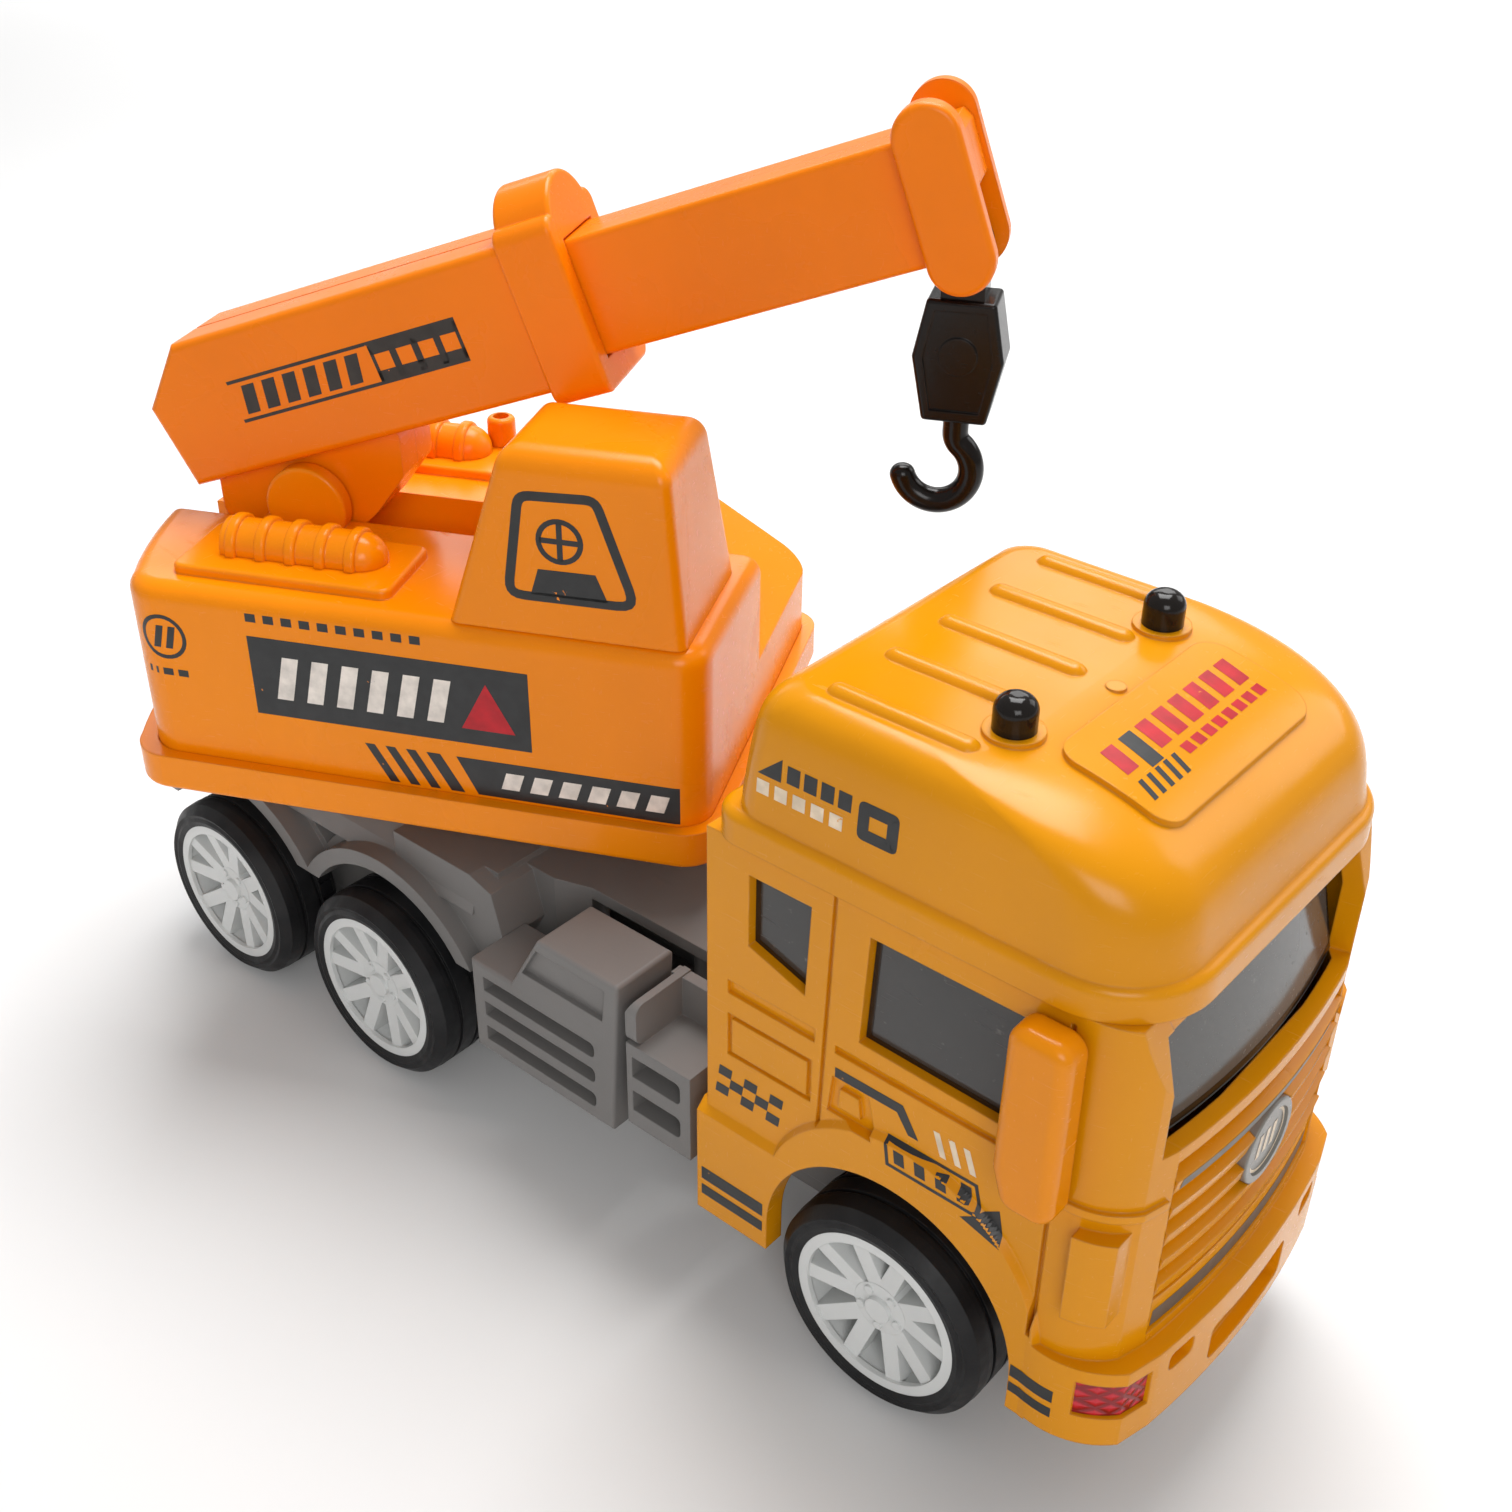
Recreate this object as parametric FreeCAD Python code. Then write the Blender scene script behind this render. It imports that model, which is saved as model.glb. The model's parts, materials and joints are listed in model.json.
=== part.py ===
"""Toy crane truck: chassis, cab, wheels, slewing superstructure, telescopic boom and hook.

Working frame while building: X forward with x = 0 at the front axle, Y to the left,
Z up with z = 0 on the ground.  The whole truck is moved once, just before export, so
that the origin lies under the middle of its bounding box.
"""
import FreeCAD, Part
import math
import os

V = FreeCAD.Vector
X, Y, Z = V(1, 0, 0), V(0, 1, 0), V(0, 0, 1)

# ---- driving dimensions, mm -------------------------------------------------
AXLES_X = {"front": 0.0, "middle": -98.6, "rear": -136.8}
AXLE_Z = 16.0
AXLE_R = 1.5
RUN_FIT = 0.06              # radial play of everything that turns on a pin or axle
TYRE_R = 16.0
RIM_R = 12.3
WHEEL_OUT = 28.5            # outer wheel face from the centre plane
WHEEL_W = 12.0
SPOKES = 5

SPINE_HALF = 13.0           # half width of the chassis spine
SPINE_Z = (14.0, 42.0)
DECK_Z = 43.0
FENDER_R = (20.0, 22.7)
FENDER_OUT = 24.5

CAB_HALF = 28.5
CAB_REAR_X = -28.0
CAB_TOP_Z = 79.8
WALL = 2.2
ARCH = (2.0, 22.0, 18.9)      # front wheel arch: centre x, z and radius
ARCH_BAND = (3.2, 27.5, 20.4)
SKIRT_HALF = 29.5
FRONT_BOW_R = 117.0         # plan radius of the cab front
FRONT_X = 34.9              # cab front on the centre plane
BUMPER_Z = (17.4, 30.0)
SCREEN_HALF = 23.2
LAMP_Z = (22.2, 27.8)

SLEW_X = -117.7             # slewing axis
SLEW_DEG = 26.3             # superstructure turned to the left
POST_R = 5.0
UPPER_HALF = 35.0           # half width of the superstructure flange
TAIL_X = (-30.0, -35.8)     # tail of the superstructure at its sides and middle
FLANGE_Z = (49.5, 55.4)
DECKTOP_Z = 83.0            # top of the superstructure
TROUGH_HALF = 5.8
TROUGH_FLOOR_Z = 62.0

PIVOT = (-10.0, 85.6)       # boom pivot in the superstructure's own x, z
LUFF_DEG = 20.0             # boom raised
PIN_R = 1.5
BOOM_HALF = 8.2             # outer boom half width
BOOM_H = (7.0, 28.2)        # outer boom underside and top, measured from the pivot
BOOM_END = 53.5
INNER_HALF = 5.5
INNER_H = (9.6, 26.0)
INNER_TAIL = 34.5
HEAD_A = 105.2              # centre of the head plates along the boom
HOOK_PIN = (105.2, 9.9)


# ---- small helpers ----------------------------------------------------------
def box(x0, x1, y0, y1, z0, z1):
    return Part.makeBox(x1 - x0, y1 - y0, z1 - z0, V(x0, y0, z0))


def cyl(x, y, z, r, h, axis=Z):
    return Part.makeCylinder(r, h, V(x, y, z), axis)


def prism(points, length):
    """Extrude a closed outline of 3-D points along the vector length."""
    wire = Part.makePolygon(points + [points[0]])
    return Part.Face(wire).extrude(length)


def side_prism(outline, y0, y1):
    """Extrude an x, z outline across the width from y0 to y1."""
    return prism([V(x, y0, z) for x, z in outline], V(0, y1 - y0, 0))


def plan_prism(outline, z0, z1):
    """Extrude an x, y outline from z0 up to z1."""
    return prism([V(x, y, z0) for x, y in outline], V(0, 0, z1 - z0))


def mirror_y(shape):
    return shape.mirror(V(0, 0, 0), Y)


def both_sides(shape):
    return shape.fuse(mirror_y(shape))


def join(shapes):
    shapes = list(shapes)
    solid = shapes[0].fuse(shapes[1:]) if len(shapes) > 1 else shapes[0]
    return solid.removeSplitter()


def soften(shape, radius, pick):
    """Round the edges that pick(edge, middle point) accepts."""
    edges = [e for e in shape.Edges if pick(e, e.BoundBox.Center)]
    return shape.makeFillet(radius, edges) if edges else shape


def runs_along(edge, axis):
    if not isinstance(edge.Curve, Part.Line):
        return False
    a, b = edge.Vertexes[0].Point, edge.Vertexes[-1].Point
    return abs((b - a).normalize().dot(axis)) > 0.999


def rounded_plan(x0, x1, half, r_rear, r_front, z):
    """Closed plan wire, symmetric about the centre plane, with rounded corners."""
    k = math.sqrt(0.5)
    corners = [(x1 - r_front, -half + r_front, r_front, 1, -1), (x1 - r_front, half - r_front, r_front, 1, 1),
               (x0 + r_rear, half - r_rear, r_rear, -1, 1), (x0 + r_rear, -half + r_rear, r_rear, -1, -1)]
    arcs = []
    for index, (cx, cy, r, sx, sy) in enumerate(corners):
        start, end = V(cx, cy + sy * r, z), V(cx + sx * r, cy, z)
        if index in (1, 3):
            start, end = end, start
        arcs.append(Part.Arc(start, V(cx + sx * k * r, cy + sy * k * r, z), end).toShape())
    edges = []
    for index, arc in enumerate(arcs):
        following = arcs[(index + 1) % 4]
        edges.append(arc)
        edges.append(Part.makeLine(arc.Vertexes[-1].Point, following.Vertexes[0].Point))
    return Part.Wire(edges)


def rounded_block(x0, x1, half, r_rear, r_front, z0, z1):
    return Part.Face(rounded_plan(x0, x1, half, r_rear, r_front, z0)).extrude(V(0, 0, z1 - z0))


def bowed_band(outline, half_angle):
    """Turn an x, z outline about the vertical axis the cab front is bowed round."""
    axis_at = V(FRONT_X - FRONT_BOW_R, 0, 0)
    face = Part.Face(Part.makePolygon([V(x, 0, z) for x, z in outline + outline[:1]]))
    face.rotate(axis_at, Z, -half_angle)
    return face.revolve(axis_at, Z, 2 * half_angle)


def front_wedge(half_width):
    """Angle that takes the bowed front out to half_width."""
    return math.degrees(math.asin(half_width / FRONT_BOW_R))


def screw(x, y, z, length, head_r=2.2, shank_r=1.1):
    """Pan-head screw standing point up, head underneath at z, with a cross recess."""
    head = cyl(x, y, z, head_r, 1.3)
    head = soften(head, 0.5, lambda e, c: abs(c.z - z) < 1e-3)
    body = head.fuse(cyl(x, y, z + 1.3, shank_r, length))
    cross = box(x - 1.2, x + 1.2, y - 0.25, y + 0.25, z, z + 0.7)
    cross = cross.fuse(box(x - 0.25, x + 0.25, y - 1.2, y + 1.2, z, z + 0.7))
    return body.cut(cross)


# ---- wheels -----------------------------------------------------------------
def make_axle(x):
    pin = cyl(x, -26.0, AXLE_Z, AXLE_R, 52.0, Y)
    return pin.makeChamfer(0.3, [e for e in pin.Edges if isinstance(e.Curve, Part.Circle)])


def wheel_ring(r_out, r_in, y0, y1):
    """Ring round the wheel axis at x = 0, between two depths from the centre plane."""
    return cyl(0, y0, 0, r_out, y1 - y0, Y).cut(cyl(0, y0, 0, r_in, y1 - y0, Y))


def spoke_bar(angle_in, angle_out):
    """One leg of a forked spoke, from the hub to the barrel, leaning into the dish."""
    r_in, r_out, w = 3.0, RIM_R - 0.7, 1.05
    a, b = math.radians(angle_in), math.radians(angle_out)
    start = V(r_in * math.cos(a), 0, r_in * math.sin(a))
    end = V(r_out * math.cos(b), 0, r_out * math.sin(b))
    side = (end - start).cross(Y).normalize() * w
    sections = []
    for centre, depth, wide in ((start, (23.6, 26.6), 1.25), (end, (24.2, 27.9), 1.15)):
        corners = [centre + side * wide, centre - side * wide]
        corners = ([V(p.x, depth[0], p.z) for p in corners]
                   + [V(p.x, depth[1], p.z) for p in reversed(corners)])
        sections.append(Part.makePolygon(corners + corners[:1]))
    return Part.makeLoft(sections, True, True)


def make_rim():
    """Left-hand rim about the origin: barrel, back web, hub and five forked spokes."""
    barrel = wheel_ring(RIM_R, RIM_R - 1.1, 17.2, 28.2)
    lip = wheel_ring(RIM_R, RIM_R - 1.5, 27.4, 28.2)
    web = wheel_ring(RIM_R - 0.6, 1.0, 19.4, 20.6)
    hub = cyl(0, 17.2, 0, 4.0, 9.6, Y)
    parts = [barrel, lip, web, hub, cyl(0, 26.6, 0, 1.9, 0.9, Y)]
    for i in range(SPOKES):
        middle = 90 + i * 360.0 / SPOKES
        parts += [spoke_bar(middle + 9 * s, middle + 17 * s) for s in (-1, 1)]
        nut = math.radians(middle + 180.0 / SPOKES)
        parts.append(cyl(3.0 * math.cos(nut), 26.4, 3.0 * math.sin(nut), 0.62, 0.75, Y))
    rim = join(parts)
    return rim.cut(cyl(0, 10, 0, AXLE_R, 16.0, Y))


def make_tyre():
    """Left-hand tyre about the origin, with notches in its inner shoulder and two tread grooves."""
    y0, y1 = WHEEL_OUT - WHEEL_W, WHEEL_OUT
    outline = [(y0 + 0.7, RIM_R), (y0, RIM_R + 0.8), (y0, TYRE_R - 1.6), (y0 + 1.4, TYRE_R - 0.2),
               (y0 + 3.0, TYRE_R), (y1 - 3.0, TYRE_R), (y1 - 1.4, TYRE_R - 0.2), (y1, TYRE_R - 1.6),
               (y1 - 0.25, RIM_R + 1.5), (y1, RIM_R + 0.9), (y1 - 0.3, RIM_R)]
    face = Part.Face(Part.makePolygon([V(0, y, r) for y, r in outline + outline[:1]]))
    tyre = face.revolve(V(0, 0, 0), Y, 360)
    grooves = [wheel_ring(TYRE_R + 1, TYRE_R - 0.55, y - 0.35, y + 0.35) for y in (y0 + 4.3, y1 - 4.3)]
    notches = []
    for i in range(30):
        notch = box(-0.5, 0.5, y0 - 0.1, y0 + 3.6, TYRE_R - 0.65, TYRE_R + 1)
        notch.rotate(V(0, 0, 0), Y, i * 12.0)
        notches.append(notch)
    return tyre.cut(grooves + notches)


# ---- chassis ----------------------------------------------------------------
def rear_fender():
    """Left fender over both rear wheels: two joined arches with a raised rim."""
    arches, hollows = [], []
    for x in (AXLES_X["middle"], AXLES_X["rear"]):
        arches.append(cyl(x, SPINE_HALF - 1, AXLE_Z, FENDER_R[1], FENDER_OUT - SPINE_HALF + 1, Y))
        arches.append(cyl(x, SPINE_HALF - 1, AXLE_Z, FENDER_R[1] + 1.4, 8.2, Y))
        hollows.append(cyl(x, 0, AXLE_Z, FENDER_R[0], 40, Y))
    low = box(-175, -60, -1, 45, -20, 27.5)
    shoulder = [(SPINE_HALF - 1, 36.0), (22.0, 36.0), (21.0, 39.5), (18.5, DECK_Z), (SPINE_HALF - 1, DECK_Z)]
    slope = prism([V(-151.5, y, z) for y, z in shoulder], V(71, 0, 0))
    block = side_prism([(-80.5, 28.5), (-76.5, 30.5), (-74.5, 34.0), (-76.5, 41.5), (-81, DECK_Z),
                        (-98, DECK_Z), (-98, 28.5)], SPINE_HALF - 1, 21.5)
    tail = side_prism([(-155.0, 27.5), (-151.5, 27.5), (-151.5, 41.0), (-153.5, 41.0)], SPINE_HALF - 1, 23.0)
    return join(arches + [slope, block, tail]).cut(hollows + [low])


def spine_shell():
    """Inverted-tray backbone with a nose under the cab and bosses for the screws."""
    outer = box(-153.0, 26.0, -SPINE_HALF, SPINE_HALF, SPINE_Z[0], SPINE_Z[1])
    inner = box(-151.0, 24.0, -SPINE_HALF + 2, SPINE_HALF - 2, SPINE_Z[0] - 1, SPINE_Z[1] - 2)
    deck = box(-153.0, -78.0, -18.5, 18.5, SPINE_Z[1] - 2, DECK_Z)
    waist = both_sides(plan_prism([(-72, SPINE_HALF + 1), (-72, SPINE_HALF), (-66, 11.0), (-38, 11.0),
                                   (-32, SPINE_HALF), (-32, SPINE_HALF + 1)], 0, 60))
    bosses = [cyl(x, 0, SPINE_Z[0], 3.0, SPINE_Z[1] - SPINE_Z[0] - 1) for x in SCREW_X]
    return join([outer.cut([inner, waist]), deck] + bosses)


SCREW_X = (-146.0, -78.0, -52.0, 14.0)


def make_chassis():
    parts = [spine_shell(), both_sides(rear_fender())]
    parts.append(cyl(SLEW_X, 0, DECK_Z - 1, 15.0, FLANGE_Z[0] - 0.3 - DECK_Z + 1))
    for x in AXLES_X.values():
        parts.append(both_sides(cyl(x, SPINE_HALF - 3.5, AXLE_Z, 3.6, 5.3, Y)))
    for side in (-1, 1):
        y0, y1 = sorted((side * (SPINE_HALF - 1), side * 17.0))
        parts.append(box(-70.0, -48.0, y0, y1, 24.0, 34.0))
        parts.append(box(-42.0, -33.0, y0, y1, 24.0, 34.0))
    body = join(parts)
    bores = [cyl(x, -40, AXLE_Z, AXLE_R + RUN_FIT, 80, Y) for x in AXLES_X.values()]
    bores += [cyl(x, 0, SPINE_Z[0] - 1, 1.1, 11) for x in SCREW_X]
    bores.append(box(-153, 26, -SPINE_HALF - 5, SPINE_HALF + 5, 0, SPINE_Z[0]))
    bores.append(cyl(SLEW_X, 0, 30, POST_R, 30))
    bores += [cyl(x, 0, SPINE_Z[1] - 8, 1.1, 12) for x in CAB_SCREW_X]
    return body.cut(bores)


CAB_SCREW_X = (-20.0, 4.0)


def make_underside():
    """Flat cover that closes the spine from below."""
    plate = rounded_block(-152.6, 25.6, SPINE_HALF - 0.3, 4, 4, SPINE_Z[0] - 2.4, SPINE_Z[0])
    for x in SCREW_X:
        plate = plate.cut([cyl(x, 0, 0, 1.2, 20), cyl(x, 0, 0, 2.5, SPINE_Z[0] - 1.0)])
    return plate


def make_base_screws():
    return Part.makeCompound([screw(x, 0, SPINE_Z[0] - 2.3, 8.0) for x in SCREW_X])


def make_tank():
    """Left tank box: raised front part with a sunk pane and three long slots."""
    y0, y1 = 17.0, 28.0
    side = [(-74.5, 18.5), (-74.5, 34.7), (-66.0, 34.7), (-60.0, 45.4), (-44.6, 45.4), (-46.4, 18.5)]
    tank = side_prism(side, y0, y1)
    tank = soften(tank, 0.6, lambda e, c: c.y > y1 - 0.01 or c.z > 40)
    slots = []
    for z in (22.2, 26.8, 31.4):
        slot = box(-72.0, -49.5, y1 - 3.0, y1 + 1, z - 1.3, z + 1.3)
        slots.append(soften(slot, 0.9, lambda e, c: runs_along(e, Y) and c.x > -50))
    pane = side_prism([(-63.4, 38.0), (-60.2, 43.6), (-47.0, 43.6), (-47.6, 38.0)], y1 - 0.9, y1 + 1)
    return tank.cut(slots + [pane])


def make_step():
    """Left step box: two toe openings, a tread and a low back with a curved end wall."""
    y0, y1 = 17.0, 28.0
    body = box(-43.2, -31.6, y0, y1, 22.4, 37.0)
    back = box(-43.2, -31.6, y0, y0 + 1.8, 37.0, 43.5)
    end = side_prism([(-43.2, 37.0), (-43.2, 42.2), (-42.4, 43.8), (-41.2, 43.8), (-41.2, 37.0)], y0, y1)
    end = soften(end, 1.6, lambda e, c: runs_along(e, X) and c.y > y1 - 0.01)
    step = join([body, back, end])
    holes = []
    for z in (25.2, 31.3):
        hole = box(-42.2, -33.4, y1 - 6.5, y1 + 1, z, z + 3.6)
        holes.append(soften(hole, 0.9, lambda e, c: runs_along(e, Y) and c.x > -34))
    return step.cut(holes)


# ---- cab --------------------------------------------------------------------
def cab_plan(grow, z0, z1, reach=0.0):
    """Cab outline in plan, grown outwards by grow and at the front by reach as well."""
    half = CAB_HALF + grow
    front = FRONT_X + grow + reach
    corner = V(32.0 + grow + reach * 0.9, 24.6 + grow, z0)
    points = [V(CAB_REAR_X - grow, -half, z0), V(22.6, -half, z0), V(corner.x, -corner.y, z0),
              V(front - 1.7, -20.8, z0), V(front, 0, z0)]
    left = [V(p.x, -p.y, p.z) for p in reversed(points[:-1])]
    edges = [Part.makeLine(points[0], points[1]),
             Part.Arc(points[1], V(28.6 + grow + reach * 0.5, -27.6 - grow, z0), points[2]).toShape(),
             Part.makeLine(points[2], points[3]),
             Part.Arc(points[3], points[4], left[0]).toShape(),
             Part.makeLine(left[0], left[1]),
             Part.Arc(left[1], V(28.6 + grow + reach * 0.5, 27.6 + grow, z0), left[2]).toShape(),
             Part.makeLine(left[2], left[3]),
             Part.makeLine(left[3], points[0])]
    return Part.Face(Part.Wire(edges)).extrude(V(0, 0, z1 - z0))


def lower_band():
    """Skirt, wheel-arch band and bumper, standing proud of the cab side."""
    grow = SKIRT_HALF - CAB_HALF
    rise = [(-34, 0), (-34, 30.1), (-28, 36.1), (28, 36.1), (34, 30.1), (34, 0)]
    skirt = cab_plan(grow, 17.0, 40).common(prism([V(-31, y, z) for y, z in rise], V(15, 0, 0)))
    x, z, r = ARCH_BAND
    cone = Part.makeCone(r + 1.0, r - 1.0, 3.0, V(x, SKIRT_HALF - 1.5, z), Y)
    band = both_sides(cone).fuse(box(x - r, x + r, -40, 40, 0, z))
    arch = cab_plan(grow, 17.0, 60).common(band)
    bumper = cab_plan(grow, *BUMPER_Z, 1.4).common(box(19.5, 60, -40, 40, 0, 60))
    return [skirt, arch, bumper]


LARGE_WINDOW = [(-3.6, 75.7), (17.6, 75.7), (17.6, 59.2), (-4.4, 59.8)]
SMALL_WINDOW = [(-21.4, 75.7), (-12.0, 75.7), (-12.6, 62.3), (-21.4, 65.2)]


def side_grooves():
    """Cutters for the shut lines, the slot and the sunk panels of both doors."""
    y0 = CAB_HALF - 0.6
    cutters = [side_prism([(-8.9, 80), (-8.3, 80), (-9.6, 43.5), (-10.2, 43.5)], y0, 40),
               side_prism([(22.3, 78), (22.9, 78), (22.9, 31), (22.3, 31)], y0, 40),
               side_prism([(-24.6, 58.3), (-24.6, 56.2), (-10.9, 56.0), (-10.9, 58.1)], y0, 40),
               side_prism([(-7.8, 57.4), (-7.8, 56.2), (16.5, 56.0), (16.5, 57.2)], y0, 40)]
    frame = side_prism([(-24.6, 53.0), (-24.6, 46.2), (-11.2, 46.2), (-11.2, 53.0)], y0, 40)
    cutters.append(frame.cut(side_prism([(-23.9, 52.3), (-23.9, 46.9), (-11.9, 46.9), (-11.9, 52.3)], 0, 40)))
    handle = side_prism([(-8.0, 52.4), (-2.6, 52.4), (-1.2, 46.6), (-8.6, 46.6)], y0, 40)
    cutters.append(handle.cut(side_prism([(-6.8, 51.0), (-4.0, 51.0), (-3.6, 48.0), (-7.0, 48.0)], 0, 40)))
    return [both_sides(c) for c in cutters]


def corner_trim():
    """Ring step and C-shaped air deflector on each front corner column."""
    ring = cab_plan(0.45, 53.0, 54.2).common(box(23.6, 60, 21.5, 40, 0, 80))
    bar = cab_plan(1.5, 38.0, 51.0).common(box(26.6, 31.4, 21.5, 40, 0, 80))
    bar = bar.cut(cab_plan(0.9, 40.2, 48.8).common(box(0, 29.4, 0, 40, 0, 80)))
    return [ring.cut(cab_plan(-1, 40, 60)), bar.cut(cab_plan(-1, 30, 60))]


def make_cab_shell():
    outer = cab_plan(0, 17.0, CAB_TOP_Z)
    shell = join([outer] + lower_band() + [both_sides(t) for t in corner_trim()])
    inside = cab_plan(-WALL, 10, CAB_TOP_Z + 1)
    floor = cab_plan(-WALL, SPINE_Z[1], SPINE_Z[1] + 2)
    shell = shell.cut(inside.cut(floor))
    x, z, r = ARCH
    arch = cyl(x, -50, z, r, 100, Y).fuse(box(x - r, x + r, -50, 50, 0, z))
    notch = box(CAB_REAR_X - 5, CAB_REAR_X + 5, -SPINE_HALF - 0.1, SPINE_HALF + 0.1, 0, SPINE_Z[1])
    brow = side_prism([(FRONT_X + 0.5, 60.0), (29.4, CAB_TOP_Z + 1), (60, CAB_TOP_Z + 1), (60, 60.0)],
                      -50, 50)
    shell = shell.cut([arch, notch, brow])
    slope = side_prism([(27.2, CAB_TOP_Z), (29.6, CAB_TOP_Z), (35.0, 60.0), (32.6, 60.0)], -24.6, 24.6)
    slope = slope.common(cab_plan(0, 50, 90))
    shell = join([shell, slope])
    windows = [both_sides(side_prism(w, CAB_HALF - 6, 40)) for w in (LARGE_WINDOW, SMALL_WINDOW)]
    shell = shell.cut(windows + side_grooves() + [windscreen_opening(0.05), grille_recess()] + bumper_cuts())
    return shell.cut([cyl(x, 0, SPINE_Z[1] - 1, 1.2, 6) for x in CAB_SCREW_X])


def windscreen_opening(gap):
    line = [(26.0, 77.0 + gap), (45.0, 77.0 + gap), (45.0, 61.2 - gap), (26.0, 61.2 - gap)]
    return bowed_band(line, front_wedge(SCREEN_HALF + gap))


def make_windscreen():
    """Tinted pane, bowed and raked like the cab front."""
    return bowed_band([(30.6, 61.2), (32.2, 61.2), (28.6, 77.0), (27.0, 77.0)], front_wedge(SCREEN_HALF))


def make_side_glass():
    """Left window moulding: two panes on one backing plate."""
    inner = CAB_HALF - WALL
    backing = side_prism([(-23.2, 77.2), (19.4, 77.2), (19.4, 57.8), (-7.0, 57.8), (-23.2, 63.0)],
                         inner - 1.2, inner)
    panes = []
    for outline in (LARGE_WINDOW, SMALL_WINDOW):
        cx = sum(p[0] for p in outline) / 4
        cz = sum(p[1] for p in outline) / 4
        shrunk = [(cx + (x - cx) * 0.992, cz + (z - cz) * 0.992) for x, z in outline]
        panes.append(side_prism(shrunk, inner, CAB_HALF - 1.3))
    return join([backing] + panes)


def grille_recess():
    return bowed_band([(32.4, 31.6), (45, 31.6), (45, 59.2), (32.4, 59.2)], front_wedge(20.6))


def make_grille():
    """Bowed grille with stepped louvres and plain strips at top and bottom."""
    x_in = 32.4
    outline = [(x_in, 31.7), (FRONT_X - 0.3, 31.7), (FRONT_X - 0.1, 36.8), (FRONT_X - 0.9, 36.8)]
    louvres, z0, pitch = 5, 37.2, 4.1
    for i in range(louvres):
        z = z0 + i * pitch
        outline += [(FRONT_X - 1.7, z), (FRONT_X + 0.1, z + 0.7), (FRONT_X + 0.5, z + pitch - 1.3),
                    (FRONT_X - 1.7, z + pitch - 0.6)]
    outline += [(FRONT_X - 0.9, 57.9), (FRONT_X - 0.6, 57.9), (FRONT_X - 1.0, 59.1), (x_in, 59.1)]
    grille = bowed_band(outline, front_wedge(20.5))
    return grille.cut(cyl(30, 0, 48.6, 5.8, 20, X))


def make_emblem():
    """Plain round badge standing in the grille."""
    disc = cyl(33.0, 0, 48.6, 5.75, 2.4, X)
    dish = cyl(35.0, 0, 48.6, 4.6, 2, X)
    return soften(disc, 0.3, lambda e, c: c.x > 35.3).cut(dish)


def bumper_cuts():
    """Openings and lamp seats in the bumper."""
    x0 = FRONT_X + 0.6
    wide = box(x0, 60, -9.5, 9.5, 19.4, 25.6)
    cuts = [soften(wide, 1.2, lambda e, c: runs_along(e, X))]
    for side in (-1, 1):
        slot = box(x0 - 0.6, 60, side * 16.3 - 2.4, side * 16.3 + 2.4, 25.2, 28.2)
        cuts.append(soften(slot, 0.9, lambda e, c: runs_along(e, X)))
        cuts.append(lamp_prism(side, 0.1))
    return cuts


def lamp_prism(side, grow):
    """Block at a front bumper corner that the lamp lens fills."""
    y0, y1 = sorted((side * 21.8, side * 34.0))
    block = box(29.2, 60.0, y0 - grow, y1 + grow, LAMP_Z[0] - grow, LAMP_Z[1] + grow)
    return block.cut(cab_plan(-0.2 - grow, 10, 40, 0.6))


def make_lamp(side):
    lens = lamp_prism(side, 0).common(cab_plan(0.7, 10, 40, 1.2))
    return lens


def roof_loft(shrink, z_shift=0.0):
    """Domed roof: plan sections that draw in towards the top."""
    sections = [(84.0, -24.8, 31.2, 28.6, 10.5), (90.0, -24.2, 29.9, 28.2, 10.5),
                (95.0, -23.5, 25.8, 27.7, 10.0), (98.0, -22.7, 18.4, 26.8, 9.0),
                (99.4, -21.5, 11.4, 25.4, 8.0), (100.0, -19.9, 5.4, 23.6, 6.5)]
    wires = []
    for z, x0, x1, half, r in sections:
        r = max(r - shrink, 2.0)
        wires.append(rounded_plan(x0 + shrink, x1 - shrink, half - shrink, max(4.0 - shrink, 1.5),
                                  r, z + z_shift))
    return Part.makeLoft(wires, True)


def make_roof():
    rim = rounded_block(-27.0, 32.4, SKIRT_HALF, 4.0, 12.0, CAB_TOP_Z, 84.1)
    rim = soften(rim, 1.3, lambda e, c: c.z > 84.0)
    visor = side_prism([(25.0, CAB_TOP_Z), (32.4, CAB_TOP_Z), (32.0, 77.4), (30.6, 77.2)], -24, 24)
    visor = visor.common(rounded_block(-27.0, 32.4, SKIRT_HALF, 4.0, 12.0, 70, 84))
    visor = visor.cut(cab_plan(0.1, 60, CAB_TOP_Z))
    dome = roof_loft(0)
    plate = roof_loft(0, 0.7).common(rounded_block(9.6, 24.2, 16.4, 3, 3, 90, 110))
    parts = [rim, visor, dome, plate]
    for y in (-21.2, -10.6, 0.0, 10.6, 21.2):
        parts.append(cyl(-14.8, y, 99.3, 1.6, 17.0, X))
        parts += [Part.makeSphere(1.6, V(x, y, 99.3)) for x in (-14.8, 2.2)]
    for y in (-15.7, 15.7):
        parts.append(cyl(4.4, y, 98.5, 3.5, 2.0))
    parts.append(cyl(7.6, 0, 98.0, 1.2, 2.1))
    roof = join(parts)
    cavity = roof_loft(WALL, -2.0).fuse(rounded_block(-24.0, 28.4, 26.2, 3.0, 9.0, 70, 83.0))
    roof = roof.cut(cavity)
    tongue_seat = [cyl(4.4, y, 90, 1.2, 20) for y in (-15.7, 15.7)]
    return roof.cut(tongue_seat)


def make_beacons():
    lamps = []
    for y in (-15.7, 15.7):
        lamp = cyl(4.4, y, 100.5, 2.5, 4.2)
        lamp = soften(lamp, 1.9, lambda e, c: c.z > 104.6)
        lamps.append(lamp.fuse(cyl(4.4, y, 96.5, 1.15, 4.2)))
    return Part.makeCompound(lamps)


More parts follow.
